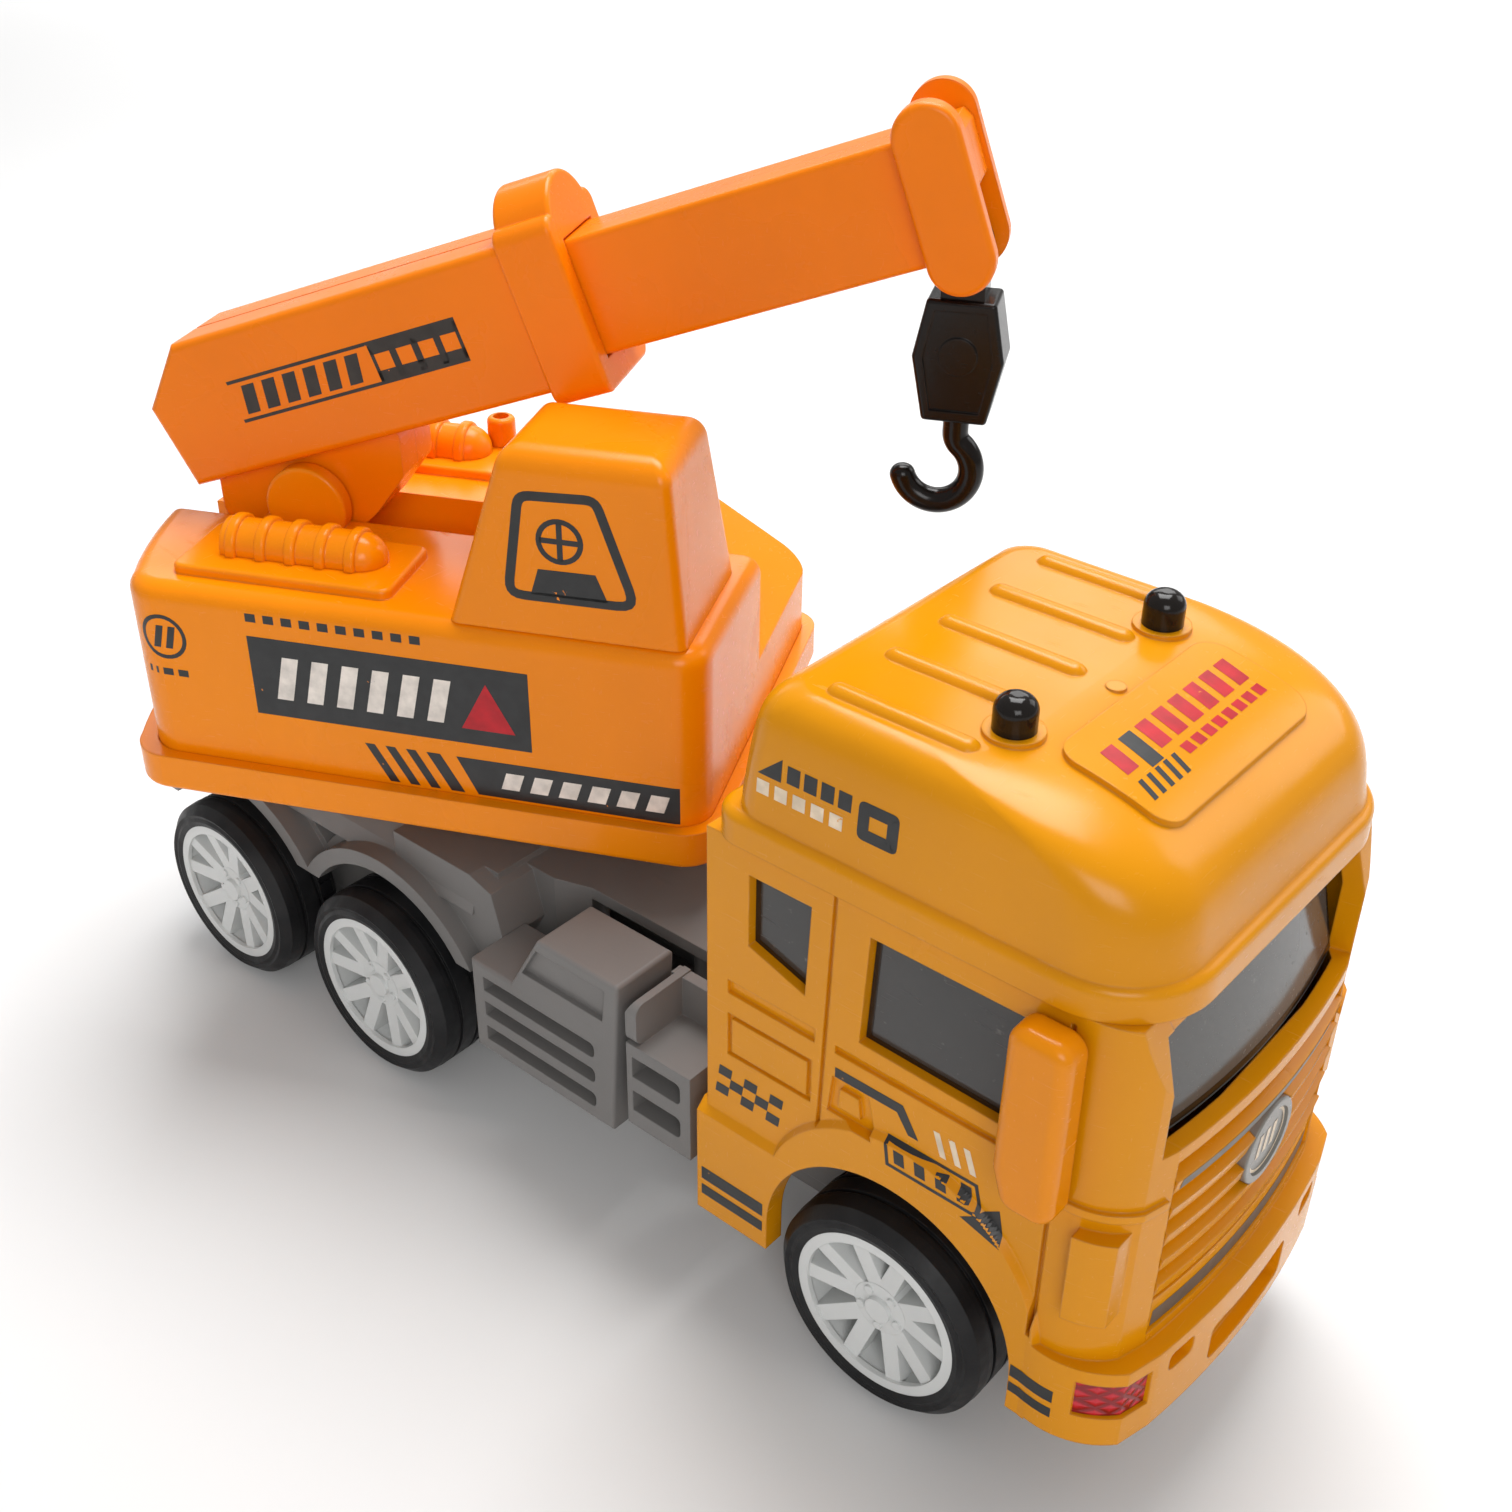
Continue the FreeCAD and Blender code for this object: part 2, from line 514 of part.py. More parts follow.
def make_mirror():
    """Left mirror: tall rounded housing on a short bracket along the front pillar."""
    outline = [(17.4, 78.4), (25.2, 78.4), (25.4, 52.8), (18.8, 52.8), (17.2, 58.0)]
    house = side_prism(outline, CAB_HALF + 1.2, CAB_HALF + 5.2)
    house = soften(house, 2.4, lambda e, c: runs_along(e, Y))
    house = soften(house, 1.7, lambda e, c: c.y > CAB_HALF + 5.15)
    arm = box(19.4, 21.9, CAB_HALF, CAB_HALF + 2.0, 55.0, 76.0)
    return join([house, arm])


# ---- superstructure (own frame: slewing axis at x = y = 0) -------------------
def upper_plan(inset, z0, z1):
    """Plan of the superstructure: bowed tail, straight sides, rounded front corners."""
    half, front = UPPER_HALF - inset, 60.6 - inset
    tail, bow, r = TAIL_X[0] + inset, TAIL_X[1] + inset, 6.0 - 0.6 * inset
    k = r * (1 - math.sqrt(0.5))
    rear_r = 5.0
    q = rear_r * (1 - math.sqrt(0.5))
    pts = [V(tail + rear_r, -half, z0), V(front - r, -half, z0), V(front, -half + r, z0),
           V(front, half - r, z0), V(front - r, half, z0), V(tail + rear_r, half, z0),
           V(tail - 0.6, half - rear_r, z0), V(tail - 0.6, -half + rear_r, z0)]
    edges = [Part.makeLine(pts[0], pts[1]),
             Part.Arc(pts[1], V(front - k, -half + k, z0), pts[2]).toShape(),
             Part.makeLine(pts[2], pts[3]),
             Part.Arc(pts[3], V(front - k, half - k, z0), pts[4]).toShape(),
             Part.makeLine(pts[4], pts[5]),
             Part.Arc(pts[5], V(tail + q, half - q, z0), pts[6]).toShape(),
             Part.Arc(pts[6], V(bow, 0, z0), pts[7]).toShape(),
             Part.Arc(pts[7], V(tail + q, -half + q, z0), pts[0]).toShape()]
    return Part.Face(Part.Wire(edges)).extrude(V(0, 0, z1 - z0))


HOUSING_SCREWS = [(x, y) for x in (-18.0, 50.0) for y in (-24.0, 24.0)]


def make_slew_base():
    """Tray under the superstructure: floor, outer flange and the slewing bore."""
    tray = upper_plan(0, FLANGE_Z[0], FLANGE_Z[1])
    tray = soften(tray, 1.0, lambda e, c: c.z < FLANGE_Z[0] + 0.01)
    tray = tray.cut(upper_plan(2.0, FLANGE_Z[0] + 2.1, 90))
    hub = cyl(0, 0, FLANGE_Z[0], 10.0, 4.0)
    tray = join([tray, hub]).cut(cyl(0, 0, 40, POST_R + RUN_FIT, 30))
    for x, y in HOUSING_SCREWS:
        tray = tray.cut([cyl(x, y, 40, 1.2, 30), cyl(x, y, 40, 2.4, FLANGE_Z[0] + 1.3 - 40)])
    return tray


def make_housing_screws():
    return Part.makeCompound([screw(x, y, FLANGE_Z[0], 8.0, 2.2) for x, y in HOUSING_SCREWS])


def make_slew_post():
    """Fixed post that the superstructure turns on."""
    z_top = FLANGE_Z[0] + 4.4
    post = cyl(0, 0, 30.0, POST_R, z_top - 30.0)
    return post.cut(cyl(0, 0, z_top - 12, 1.1, 13))


def make_slew_washer():
    z = FLANGE_Z[0] + 4.4
    return cyl(0, 0, z, 8.2, 1.0).cut(cyl(0, 0, z, 1.3, 1.0))


def make_slew_screw():
    z = FLANGE_Z[0] + 5.4
    turned = screw(0, 0, 0, 9.0, 2.6)
    turned.rotate(V(0, 0, 0), X, 180)
    turned.translate(V(0, 0, z + 1.3))
    return turned


def pivot_ear(side):
    """Round ear beside the trough that carries one end of the boom pin."""
    y0, y1 = sorted((side * (TROUGH_HALF + 0.4), side * (TROUGH_HALF + 3.0)))
    ear = cyl(PIVOT[0], y0, PIVOT[1], 6.4, y1 - y0, Y)
    return soften(ear, 0.5, lambda e, c: abs(abs(c.y) - TROUGH_HALF - 3.0) < 0.01)


def canister_seat(side):
    """Raised plate on the deck under a canister."""
    y0, y1 = sorted((side * 13.4, side * 28.6))
    plate = side_prism([(-21.6, DECKTOP_Z - 1), (11.8, DECKTOP_Z - 1), (11.8, DECKTOP_Z + 1.5),
                        (-21.6, DECKTOP_Z + 1.5)], y0, y1)
    plate = soften(plate, 1.6, lambda e, c: runs_along(e, Z))
    return soften(plate, 0.6, lambda e, c: c.z > DECKTOP_Z + 1.4)


def make_upper_housing():
    inset = 2.05
    outer = upper_plan(inset, FLANGE_Z[0] + 2.15, DECKTOP_Z)
    far_slope = side_prism([(30.5, DECKTOP_Z + 1), (30.5, DECKTOP_Z), (59.5, 65.2), (70, 65.2), (70, 90)],
                           -1.5, 40)
    outer = soften(outer, 2.6, lambda e, c: c.z > DECKTOP_Z - 0.01).cut(far_slope)
    inside = upper_plan(inset + 2.0, FLANGE_Z[0], DECKTOP_Z - 2.0)
    inside = inside.cut(side_prism([(28.0, 95), (28.0, DECKTOP_Z - 2), (58.0, 62.8), (70, 62.8), (70, 95)],
                                   -1.5, 40))
    inside = inside.cut(box(56.6, 70, -1.5, 40, 0, 65))
    trough_wall = box(-40, 52.0, -TROUGH_HALF - 4.6, TROUGH_HALF + 4.6, TROUGH_FLOOR_Z - 2, DECKTOP_Z)
    shell = outer.cut(inside.cut(trough_wall))
    bosses = [cyl(x, y, FLANGE_Z[0] + 2.15, 3.4, 31.0) for x, y in HOUSING_SCREWS]
    bosses = [b.common(outer) for b in bosses]
    parts = [shell] + bosses + [pivot_ear(s) for s in (-1, 1)] + [canister_seat(s) for s in (-1, 1)]
    housing = join(parts)
    trough = box(-45, 50.0, -TROUGH_HALF, TROUGH_HALF, TROUGH_FLOOR_Z, 100)
    tail_slot = box(-45, -17.6, -BOOM_HALF - 0.4, BOOM_HALF + 0.4, 77.6, 100)
    pin_seats = cyl(PIVOT[0], -8.0, PIVOT[1], PIN_R, 16.0, Y)
    holes = [cyl(x, y, FLANGE_Z[0], 1.1, 11) for x, y in HOUSING_SCREWS]
    holes.append(cyl(0, 0, 40, 9.0, 17.0))
    holes += [cyl(30.0, -16.0, 70, 1.15, 20), cyl(-5, 20.5, 80, 1.1, 8), cyl(-5, -20.5, 80, 1.1, 8)]
    holes.append(cyl(8.4, 25.4, 78, 1.2, 8))
    return housing.cut([trough, tail_slot, pin_seats] + holes)


def make_canister(side):
    """Ribbed air canister with a domed front end, half sunk in its seat."""
    z, y = DECKTOP_Z + 1.5, side * 20.5
    x0, x1, r = -16.0, 4.6, 3.7
    parts = [cyl(x0, y, z + 0.6, r, x1 - x0, X), Part.makeSphere(r, V(x1, y, z + 0.6))]
    for i in range(5):
        parts.append(soften(cyl(x0 + 0.9 + i * 4.6, y, z + 0.6, r + 0.6, 1.7, X), 0.5, lambda e, c: True))
    body = join(parts).cut(box(-40, 40, y - 10, y + 10, z - 10, z))
    return join([body, cyl(-5, y, z - 3.4, 1.1, 4.0)])


def make_exhaust():
    x, y, z = 8.4, 25.4, DECKTOP_Z + 1.5
    stub = cyl(x, y, z, 2.3, 4.6)
    stub = soften(stub, 0.8, lambda e, c: c.z > z + 4.5)
    stub = stub.cut(cyl(x, y, z + 2.0, 1.3, 5))
    return stub.fuse(cyl(x, y, z - 3.4, 1.2, 3.5))


def make_operator_cabin():
    """Hollow operator's cabin on the right front of the deck."""
    z = DECKTOP_Z
    outline = [(22.0, z), (30.8, 109.4), (53.6, 109.4), (55.8, z)]
    block = side_prism(outline, -32.0, -6.2)
    lean = prism([V(0, -6.2, z), V(0, -13.2, 110), V(0, 0, 110), V(0, 0, z)], V(80, 0, 0))
    block = block.cut(lean)
    block = soften(block, 3.4, lambda e, c: c.z > 109.3)
    block = soften(block, 1.6, lambda e, c: c.z > z + 1 and c.z < 107 and e.Length > 15)
    inner = side_prism([(24.4, z - 1), (32.4, 107.0), (51.8, 107.0), (53.8, z - 1)], -30.0, -8.6)
    inner = inner.cut(prism([V(0, -8.6, z), V(0, -15.2, 110), V(0, 0, 110), V(0, 0, z)], V(80, 0, 0)))
    cabin = block.cut(inner)
    return join([cabin, cyl(30.0, -16.0, z - 1.9, 1.15, 5.0).cut(box(0, 60, -40, 0, z + 2, z + 9)),
                 box(24.0, 34.0, -20.0, -12.0, z, z + 1.6)])


# ---- boom (own frame: pivot at x = z = 0, x along the boom) ------------------
def outer_boom_solid():
    low, top = BOOM_H
    profile = [(-16.5, low + 0.2), (-18.0, 20.2), (-9.8, top), (BOOM_END, top), (BOOM_END, low)]
    tube = side_prism(profile, -BOOM_HALF, BOOM_HALF)
    tube = soften(tube, 1.1, lambda e, c: abs(abs(c.y) - BOOM_HALF) < 0.01 and c.x < BOOM_END - 1)
    lug = side_prism([(-13.8, 7.6), (-15.6, 2.5), (-15.5, -3.0), (-10.0, -8.0), (0.0, -8.6),
                      (5.1, -6.2), (9.0, -4.4), (16.0, 0.1), (17.9, 5.8), (17.9, 7.6)],
                     -TROUGH_HALF + 0.4, TROUGH_HALF - 0.4)
    lug = soften(lug, 1.4, lambda e, c: runs_along(e, Y) and c.z < 6)
    return tube.fuse(lug).removeSplitter()


def boom_channel():
    """Space inside the outer boom: long channel, narrower mouth that stops the inner boom."""
    side = INNER_HALF + 0.3
    long_part = box(-12.0, 50.5, -side, side, 8.7, 26.9)
    mouth = box(50.0, 60.0, -side, side, INNER_H[0] - 0.3, INNER_H[1] + 0.3)
    relief = side_prism([(-14, 5), (-14, 40), (-4, 40)], -side, side)
    return long_part.cut(relief).fuse(mouth)


BOOM_SCREWS = [(-13.2, 12.5), (12.0, 3.4), (0.0, -5.6)]


def outer_boom_half(side):
    keep = box(-60, 80, 0, 40, -40, 60) if side > 0 else box(-60, 80, -40, 0, -40, 60)
    half = outer_boom_solid().cut([boom_channel(), cyl(0, -20, 0, PIN_R + RUN_FIT, 40, Y)]).common(keep)
    half = half.cut([cyl(x, -4.4, z, 1.1, 9.0, Y) for x, z in BOOM_SCREWS])
    if side > 0:
        half = half.cut([cyl(x, 3.2, z, 1.9, 20, Y) for x, z in BOOM_SCREWS])
    return half.cut(box(-30, 44.0, -0.3, 0.3, BOOM_H[1] - 0.5, BOOM_H[1] + 1))


def make_boom_screws():
    """Screws put in from the left that hold the boom halves together."""
    made = []
    for x, z in BOOM_SCREWS:
        one = screw(0, 0, 0, 6.2, 1.8, 1.1)
        one.rotate(V(0, 0, 0), X, 90)
        one.translate(V(x, 4.5, z))
        made.append(one)
    return Part.makeCompound(made)


def make_collar():
    """Sleeve round the mouth of the outer boom, with an arched top."""
    a0, a1 = 45.2, 54.0
    body = box(a0, a1, -9.1, 9.1, 5.0, 30.2)
    body = soften(body, 2.2, lambda e, c: runs_along(e, X))
    arch = cyl(a0, 0, 26.8, 7.6, a1 - a0, X)
    ring = join([body, arch])
    ring = soften(ring, 0.7, lambda e, c: c.x > a1 - 0.01 or c.x < a0 + 0.01)
    mouth = box(BOOM_END - 0.1, a1 + 1, -INNER_HALF - 0.3, INNER_HALF + 0.3,
                INNER_H[0] - 0.3, INNER_H[1] + 0.3)
    sleeve = box(a0 - 1, BOOM_END, -BOOM_HALF, BOOM_HALF, BOOM_H[0], BOOM_H[1])
    return ring.cut([mouth, sleeve])


def inner_boom_half(side):
    """One half of the inner boom, with the stop lip at its tail and a web between the head plates."""
    low, top = INNER_H
    profile = [(INNER_TAIL, low), (INNER_TAIL, top), (108.2, top), (109.0, top - 1.5), (109.0, 17.5),
               (101.0, 16.0), (101.0, low)]
    tube = side_prism(profile, -INNER_HALF, INNER_HALF)
    tube = soften(tube, 0.8, lambda e, c: runs_along(e, X) and abs(abs(c.y) - INNER_HALF) < 0.01)
    lip = box(INNER_TAIL, INNER_TAIL + 2, -INNER_HALF, INNER_HALF, low - 0.6, top + 0.6)
    hollow = box(INNER_TAIL + 3, 99.0, -INNER_HALF + 1.5, INNER_HALF - 1.5, low + 1.5, top - 1.5)
    solid = tube.fuse(lip).cut(hollow)
    keep = box(0, 140, 0, 40, -40, 60) if side > 0 else box(0, 140, -40, 0, -40, 60)
    return solid.common(keep).removeSplitter()


def head_plate(side):
    """Upright plate with round ends on one side of the boom head."""
    r, low, high = 4.5, 5.4, 30.1
    y0, y1 = sorted((side * INNER_HALF, side * 8.3))
    ends = [cyl(HEAD_A, y0, z, r, y1 - y0, Y) for z in (low + r, high - r)]
    plate = join([box(HEAD_A - r, HEAD_A + r, y0, y1, low + r, high - r)] + ends)
    plate = soften(plate, 0.9, lambda e, c: abs(abs(c.y) - 8.3) < 0.01)
    bore = cyl(HOOK_PIN[0], -7.2, HOOK_PIN[1], 1.0, 14.4, Y)
    return plate.cut(bore)


def make_hook_pin():
    return cyl(HOOK_PIN[0], -7.2, HOOK_PIN[1], 1.0, 14.4, Y)


def make_boom_pin():
    pin = cyl(PIVOT[0], -8.0, PIVOT[1], PIN_R, 16.0, Y)
    return pin.makeChamfer(0.3, [e for e in pin.Edges if isinstance(e.Curve, Part.Circle)])


# ---- hook (own frame: pin at x = z = 0, hanging straight down) ---------------
def make_hook_block():
    """Black six-sided block with sunk cheeks, a round boss and an eye for the pin."""
    outline = [(-4.6, -6.4), (-6.2, -14.4), (-4.4, -23.2), (4.4, -23.2), (6.2, -14.4), (4.6, -6.4)]
    block = side_prism(outline, -3.8, 3.8)
    block = soften(block, 0.6, lambda e, c: True)
    inner = [(x * 0.76, -14.6 + (z + 14.6) * 0.82) for x, z in outline]
    cheeks = [side_prism(inner, -5, -3.3), side_prism(inner, 3.3, 5)]
    block = block.cut(cheeks)
    boss = cyl(0, -3.65, -14.0, 2.6, 7.3, Y)
    tab = box(-2.9, 2.9, -3.0, 3.0, -7.0, 0).fuse(cyl(0, -3.0, 0, 2.9, 6.0, Y))
    body = join([block, boss, tab])
    socket = cyl(0, 0, -23.4, 1.8, 4.0)
    return body.cut([cyl(0, -5, 0, 1.0 + RUN_FIT, 10, Y), socket])


def make_hook():
    """J-shaped hook of round section, its neck set in the block."""
    r = 1.8
    bowl = V(-2.3, 0, -31.4)
    bowl_r = 4.9
    neck_r = 2.5
    neck_z = bowl.z + math.sqrt((neck_r + bowl_r) ** 2 - (neck_r - bowl.x) ** 2)
    turn = math.atan2(neck_z - bowl.z, neck_r - bowl.x)
    meet = bowl + V(math.cos(turn), 0, math.sin(turn)) * bowl_r
    neck_mid = V(neck_r - neck_r * math.cos(turn / 2), 0, neck_z - neck_r * math.sin(turn / 2))
    foot = bowl - V(0, 0, bowl_r)
    tip = bowl - V(bowl_r, 0, 0)
    top = V(0, 0, -19.4)
    path = Part.Wire([
        Part.makeLine(top, V(0, 0, neck_z)),
        Part.Arc(V(0, 0, neck_z), neck_mid, meet).toShape(),
        Part.Arc(meet, foot, tip).toShape(),
    ])
    start = Part.Wire([Part.makeCircle(r, top, V(0, 0, -1))])
    rod = path.makePipeShell([start], True, True)
    return soften(rod, 1.5, lambda e, c: c.x < tip.x + 1 and abs(c.z - tip.z) < 0.1)


# ---- placing ----------------------------------------------------------------
def at_wheel(shape, x, side):
    """Stand a left-hand wheel part on the axle at x; side is +1 left, -1 right."""
    placed = shape.copy() if side > 0 else mirror_y(shape)
    placed.translate(V(x, 0, AXLE_Z))
    return placed


def slewed(shape):
    """From the superstructure's frame to the truck's."""
    turned = shape.copy()
    turned.rotate(V(0, 0, 0), Z, SLEW_DEG)
    turned.translate(V(SLEW_X, 0, 0))
    return turned


def boomed(shape):
    """From the boom's frame to the truck's."""
    raised = shape.copy()
    raised.rotate(V(0, 0, 0), Y, -LUFF_DEG)
    raised.translate(V(PIVOT[0], 0, PIVOT[1]))
    return slewed(raised)


def hook_pin_place():
    """Hook pin centre in the superstructure's frame."""
    a = math.radians(LUFF_DEG)
    x = PIVOT[0] + HOOK_PIN[0] * math.cos(a) - HOOK_PIN[1] * math.sin(a)
    z = PIVOT[1] + HOOK_PIN[0] * math.sin(a) + HOOK_PIN[1] * math.cos(a)
    return V(x, 0, z)


def hung(shape):
    """From the hook's frame to the truck's."""
    lowered = shape.copy()
    lowered.translate(hook_pin_place())
    return slewed(lowered)


def chassis_nodes():
    tank, step = make_tank(), make_step()
    cab_screws = Part.makeCompound([cab_screw(x) for x in CAB_SCREW_X])
    return {"chassis_frame": make_chassis(), "underside_cover": make_underside(),
            "base_screws": make_base_screws(),
            "side_tank_left": tank, "side_tank_right": mirror_y(tank),
            "side_step_left": step, "side_step_right": mirror_y(step), "cab_screws": cab_screws}


def cab_screw(x):
    turned = screw(0, 0, 0, 6.0, 2.2)
    turned.rotate(V(0, 0, 0), X, 180)
    turned.translate(V(x, 0, SPINE_Z[1] + 2 + 1.3))
    return turned


def cab_nodes():
    glass, mirror = make_side_glass(), make_mirror()
    return {"cab_shell": make_cab_shell(), "cab_roof": make_roof(), "front_grille": make_grille(),
            "front_emblem": make_emblem(), "windscreen": make_windscreen(),
            "side_glass_left": glass, "side_glass_right": mirror_y(glass),
            "mirror_left": mirror, "mirror_right": mirror_y(mirror), "roof_beacons": make_beacons(),
            "lamp_left": make_lamp(1), "lamp_right": make_lamp(-1)}


def wheel_nodes():
    rim, tyre = make_rim(), make_tyre()
    nodes = {}
    for name, x in AXLES_X.items():
        nodes["axle_" + name] = make_axle(x)
        for side_name, side in (("left", 1), ("right", -1)):
            nodes["rim_%s_%s" % (name, side_name)] = at_wheel(rim, x, side)
            nodes["tyre_%s_%s" % (name, side_name)] = at_wheel(tyre, x, side)
    return nodes


def upper_nodes():
    local = {"slew_post": make_slew_post(), "slew_washer": make_slew_washer(), "slew_screw": make_slew_screw(),
             "slew_base": make_slew_base(), "upper_housing": make_upper_housing(),
             "housing_screws": make_housing_screws(), "operator_cabin": make_operator_cabin(),
             "canister_left": make_canister(1), "canister_right": make_canister(-1),
             "exhaust_stub": make_exhaust(), "boom_pivot_pin": make_boom_pin()}
    return {name: slewed(shape) for name, shape in local.items()}


def boom_nodes():
    local = {"outer_boom_left": outer_boom_half(1), "outer_boom_right": outer_boom_half(-1),
             "boom_collar": make_collar(), "boom_screws": make_boom_screws(),
             "inner_boom_left": inner_boom_half(1), "inner_boom_right": inner_boom_half(-1),
             "head_plate_left": head_plate(1), "head_plate_right": head_plate(-1),
             "hook_pin": make_hook_pin()}
    nodes = {name: boomed(shape) for name, shape in local.items()}
    nodes["hook_block"] = hung(make_hook_block())
    nodes["hook"] = hung(make_hook())
    return nodes


def build():
    """All nodes by name, with the origin under the middle of the truck's bounding box."""
    nodes = {}
    for group in (chassis_nodes(), cab_nodes(), wheel_nodes(), upper_nodes(), boom_nodes()):
        nodes.update(group)
    bounds = FreeCAD.BoundBox()
    for shape in nodes.values():
        bounds.add(shape.optimalBoundingBox(False, False))
    shift = V(-bounds.Center.x, -bounds.Center.y, -bounds.ZMin)
    for shape in nodes.values():
        shape.translate(shift)
    return nodes, shift, bounds


def main():
    nodes, shift, bounds = build()
    os.makedirs("parts", exist_ok=True)
    for name, shape in nodes.items():
        shape.exportStep("parts/%s.step" % name)
    print("nodes", len(nodes), "shift", tuple(round(c, 4) for c in shift))
    print("size", round(bounds.XLength, 2), round(bounds.YLength, 2), round(bounds.ZLength, 2))


main()
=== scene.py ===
"""Looks of a toy crane truck: moulded plastics, printed trim, camera and soft light."""
import json
import math

import bmesh
import bpy
from mathutils import Matrix, Vector
from mathutils.bvhtree import BVHTree


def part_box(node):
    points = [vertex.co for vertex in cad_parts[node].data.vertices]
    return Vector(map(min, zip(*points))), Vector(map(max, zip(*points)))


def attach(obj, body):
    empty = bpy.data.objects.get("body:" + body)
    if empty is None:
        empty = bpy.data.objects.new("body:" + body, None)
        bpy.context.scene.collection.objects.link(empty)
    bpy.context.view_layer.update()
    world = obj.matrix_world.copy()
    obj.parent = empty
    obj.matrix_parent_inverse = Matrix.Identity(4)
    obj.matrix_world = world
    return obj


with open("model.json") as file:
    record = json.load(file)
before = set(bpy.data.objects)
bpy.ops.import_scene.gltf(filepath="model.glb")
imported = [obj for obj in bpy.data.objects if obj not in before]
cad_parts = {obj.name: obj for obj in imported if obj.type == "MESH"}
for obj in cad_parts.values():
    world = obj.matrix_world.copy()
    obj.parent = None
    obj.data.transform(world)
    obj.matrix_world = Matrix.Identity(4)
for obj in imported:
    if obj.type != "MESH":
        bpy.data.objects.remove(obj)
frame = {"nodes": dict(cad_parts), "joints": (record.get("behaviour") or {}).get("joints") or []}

MM = 0.001
REACH = 0.2             # m, how far above a body its prints start before they drop onto it
PRINT_LIFT = 0.04       # mm between plastic and ink
OVERPRINT_LIFT = 0.07   # mm between plastic and ink printed over other ink
DASH_LIFT = 0.09        # the same on the bar that wraps round the housing corner
BORDER_LIFT = 0.03      # mm between glass and its dark border
SENSOR, LENS = 36.0, 43.03
EYE = Vector((88.13, -158.89, 201.15))       # mm, from the ground under the front axle
AHEAD = Vector((-0.53954, 0.64698, -0.53881))
RIGHT = Vector((0.76300, 0.64628, 0.01199))
FLOOR_REACH = 4.0
# name, position, aim, size (all in m) and power in W
LIGHTS = (("key", (-0.10, 0.22, 0.72), (0, 0, 0.05), (0.42, 0.42), 5.6),
          ("side", (0.62, -0.66, 0.55), (0, 0, 0.07), (0.5, 0.4), 3.4),
          ("far", (0.35, 0.70, 0.50), (0, 0, 0.05), (0.4, 0.4), 1.2),
          ("backdrop", (-1.1, 1.3, 0.9), (-1.2, 1.5, 0), (1.6, 1.6), 24.0))
WORLD_STRENGTH = 0.40
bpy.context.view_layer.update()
NODES = frame["nodes"]
JOINTS = {j["name"]: j for j in frame["joints"]}
SCENE = bpy.context.scene


# ---- frames of the moving parts, read from the model -------------------------
def axes_matrix(x, y, z, origin):
    """Transform whose columns are the given axes and origin."""
    m = Matrix((x, y, z)).transposed().to_4x4()
    m.translation = origin
    return m


def find_frames():
    """Frames of the truck (front axle), the superstructure (slewing axis) and the boom (luff pivot)."""
    lo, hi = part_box("axle_front")
    truck = Matrix.Translation(((lo.x + hi.x) / 2, (lo.y + hi.y) / 2, 0))
    luff, slew = JOINTS["luff"], JOINTS["slew"]
    across = -Vector(luff["axis"])
    ahead = Vector((across.y, -across.x, 0))
    slew_foot = Vector((slew["pos_m"][0], slew["pos_m"][1], 0))
    upper = axes_matrix(ahead, across, Vector((0, 0, 1)), slew_foot)
    along = Vector(JOINTS["telescope"]["axis"])
    boom = axes_matrix(along, across, along.cross(across), Vector(luff["pos_m"]))
    return truck, upper, boom


TRUCK, UPPER, BOOM = find_frames()


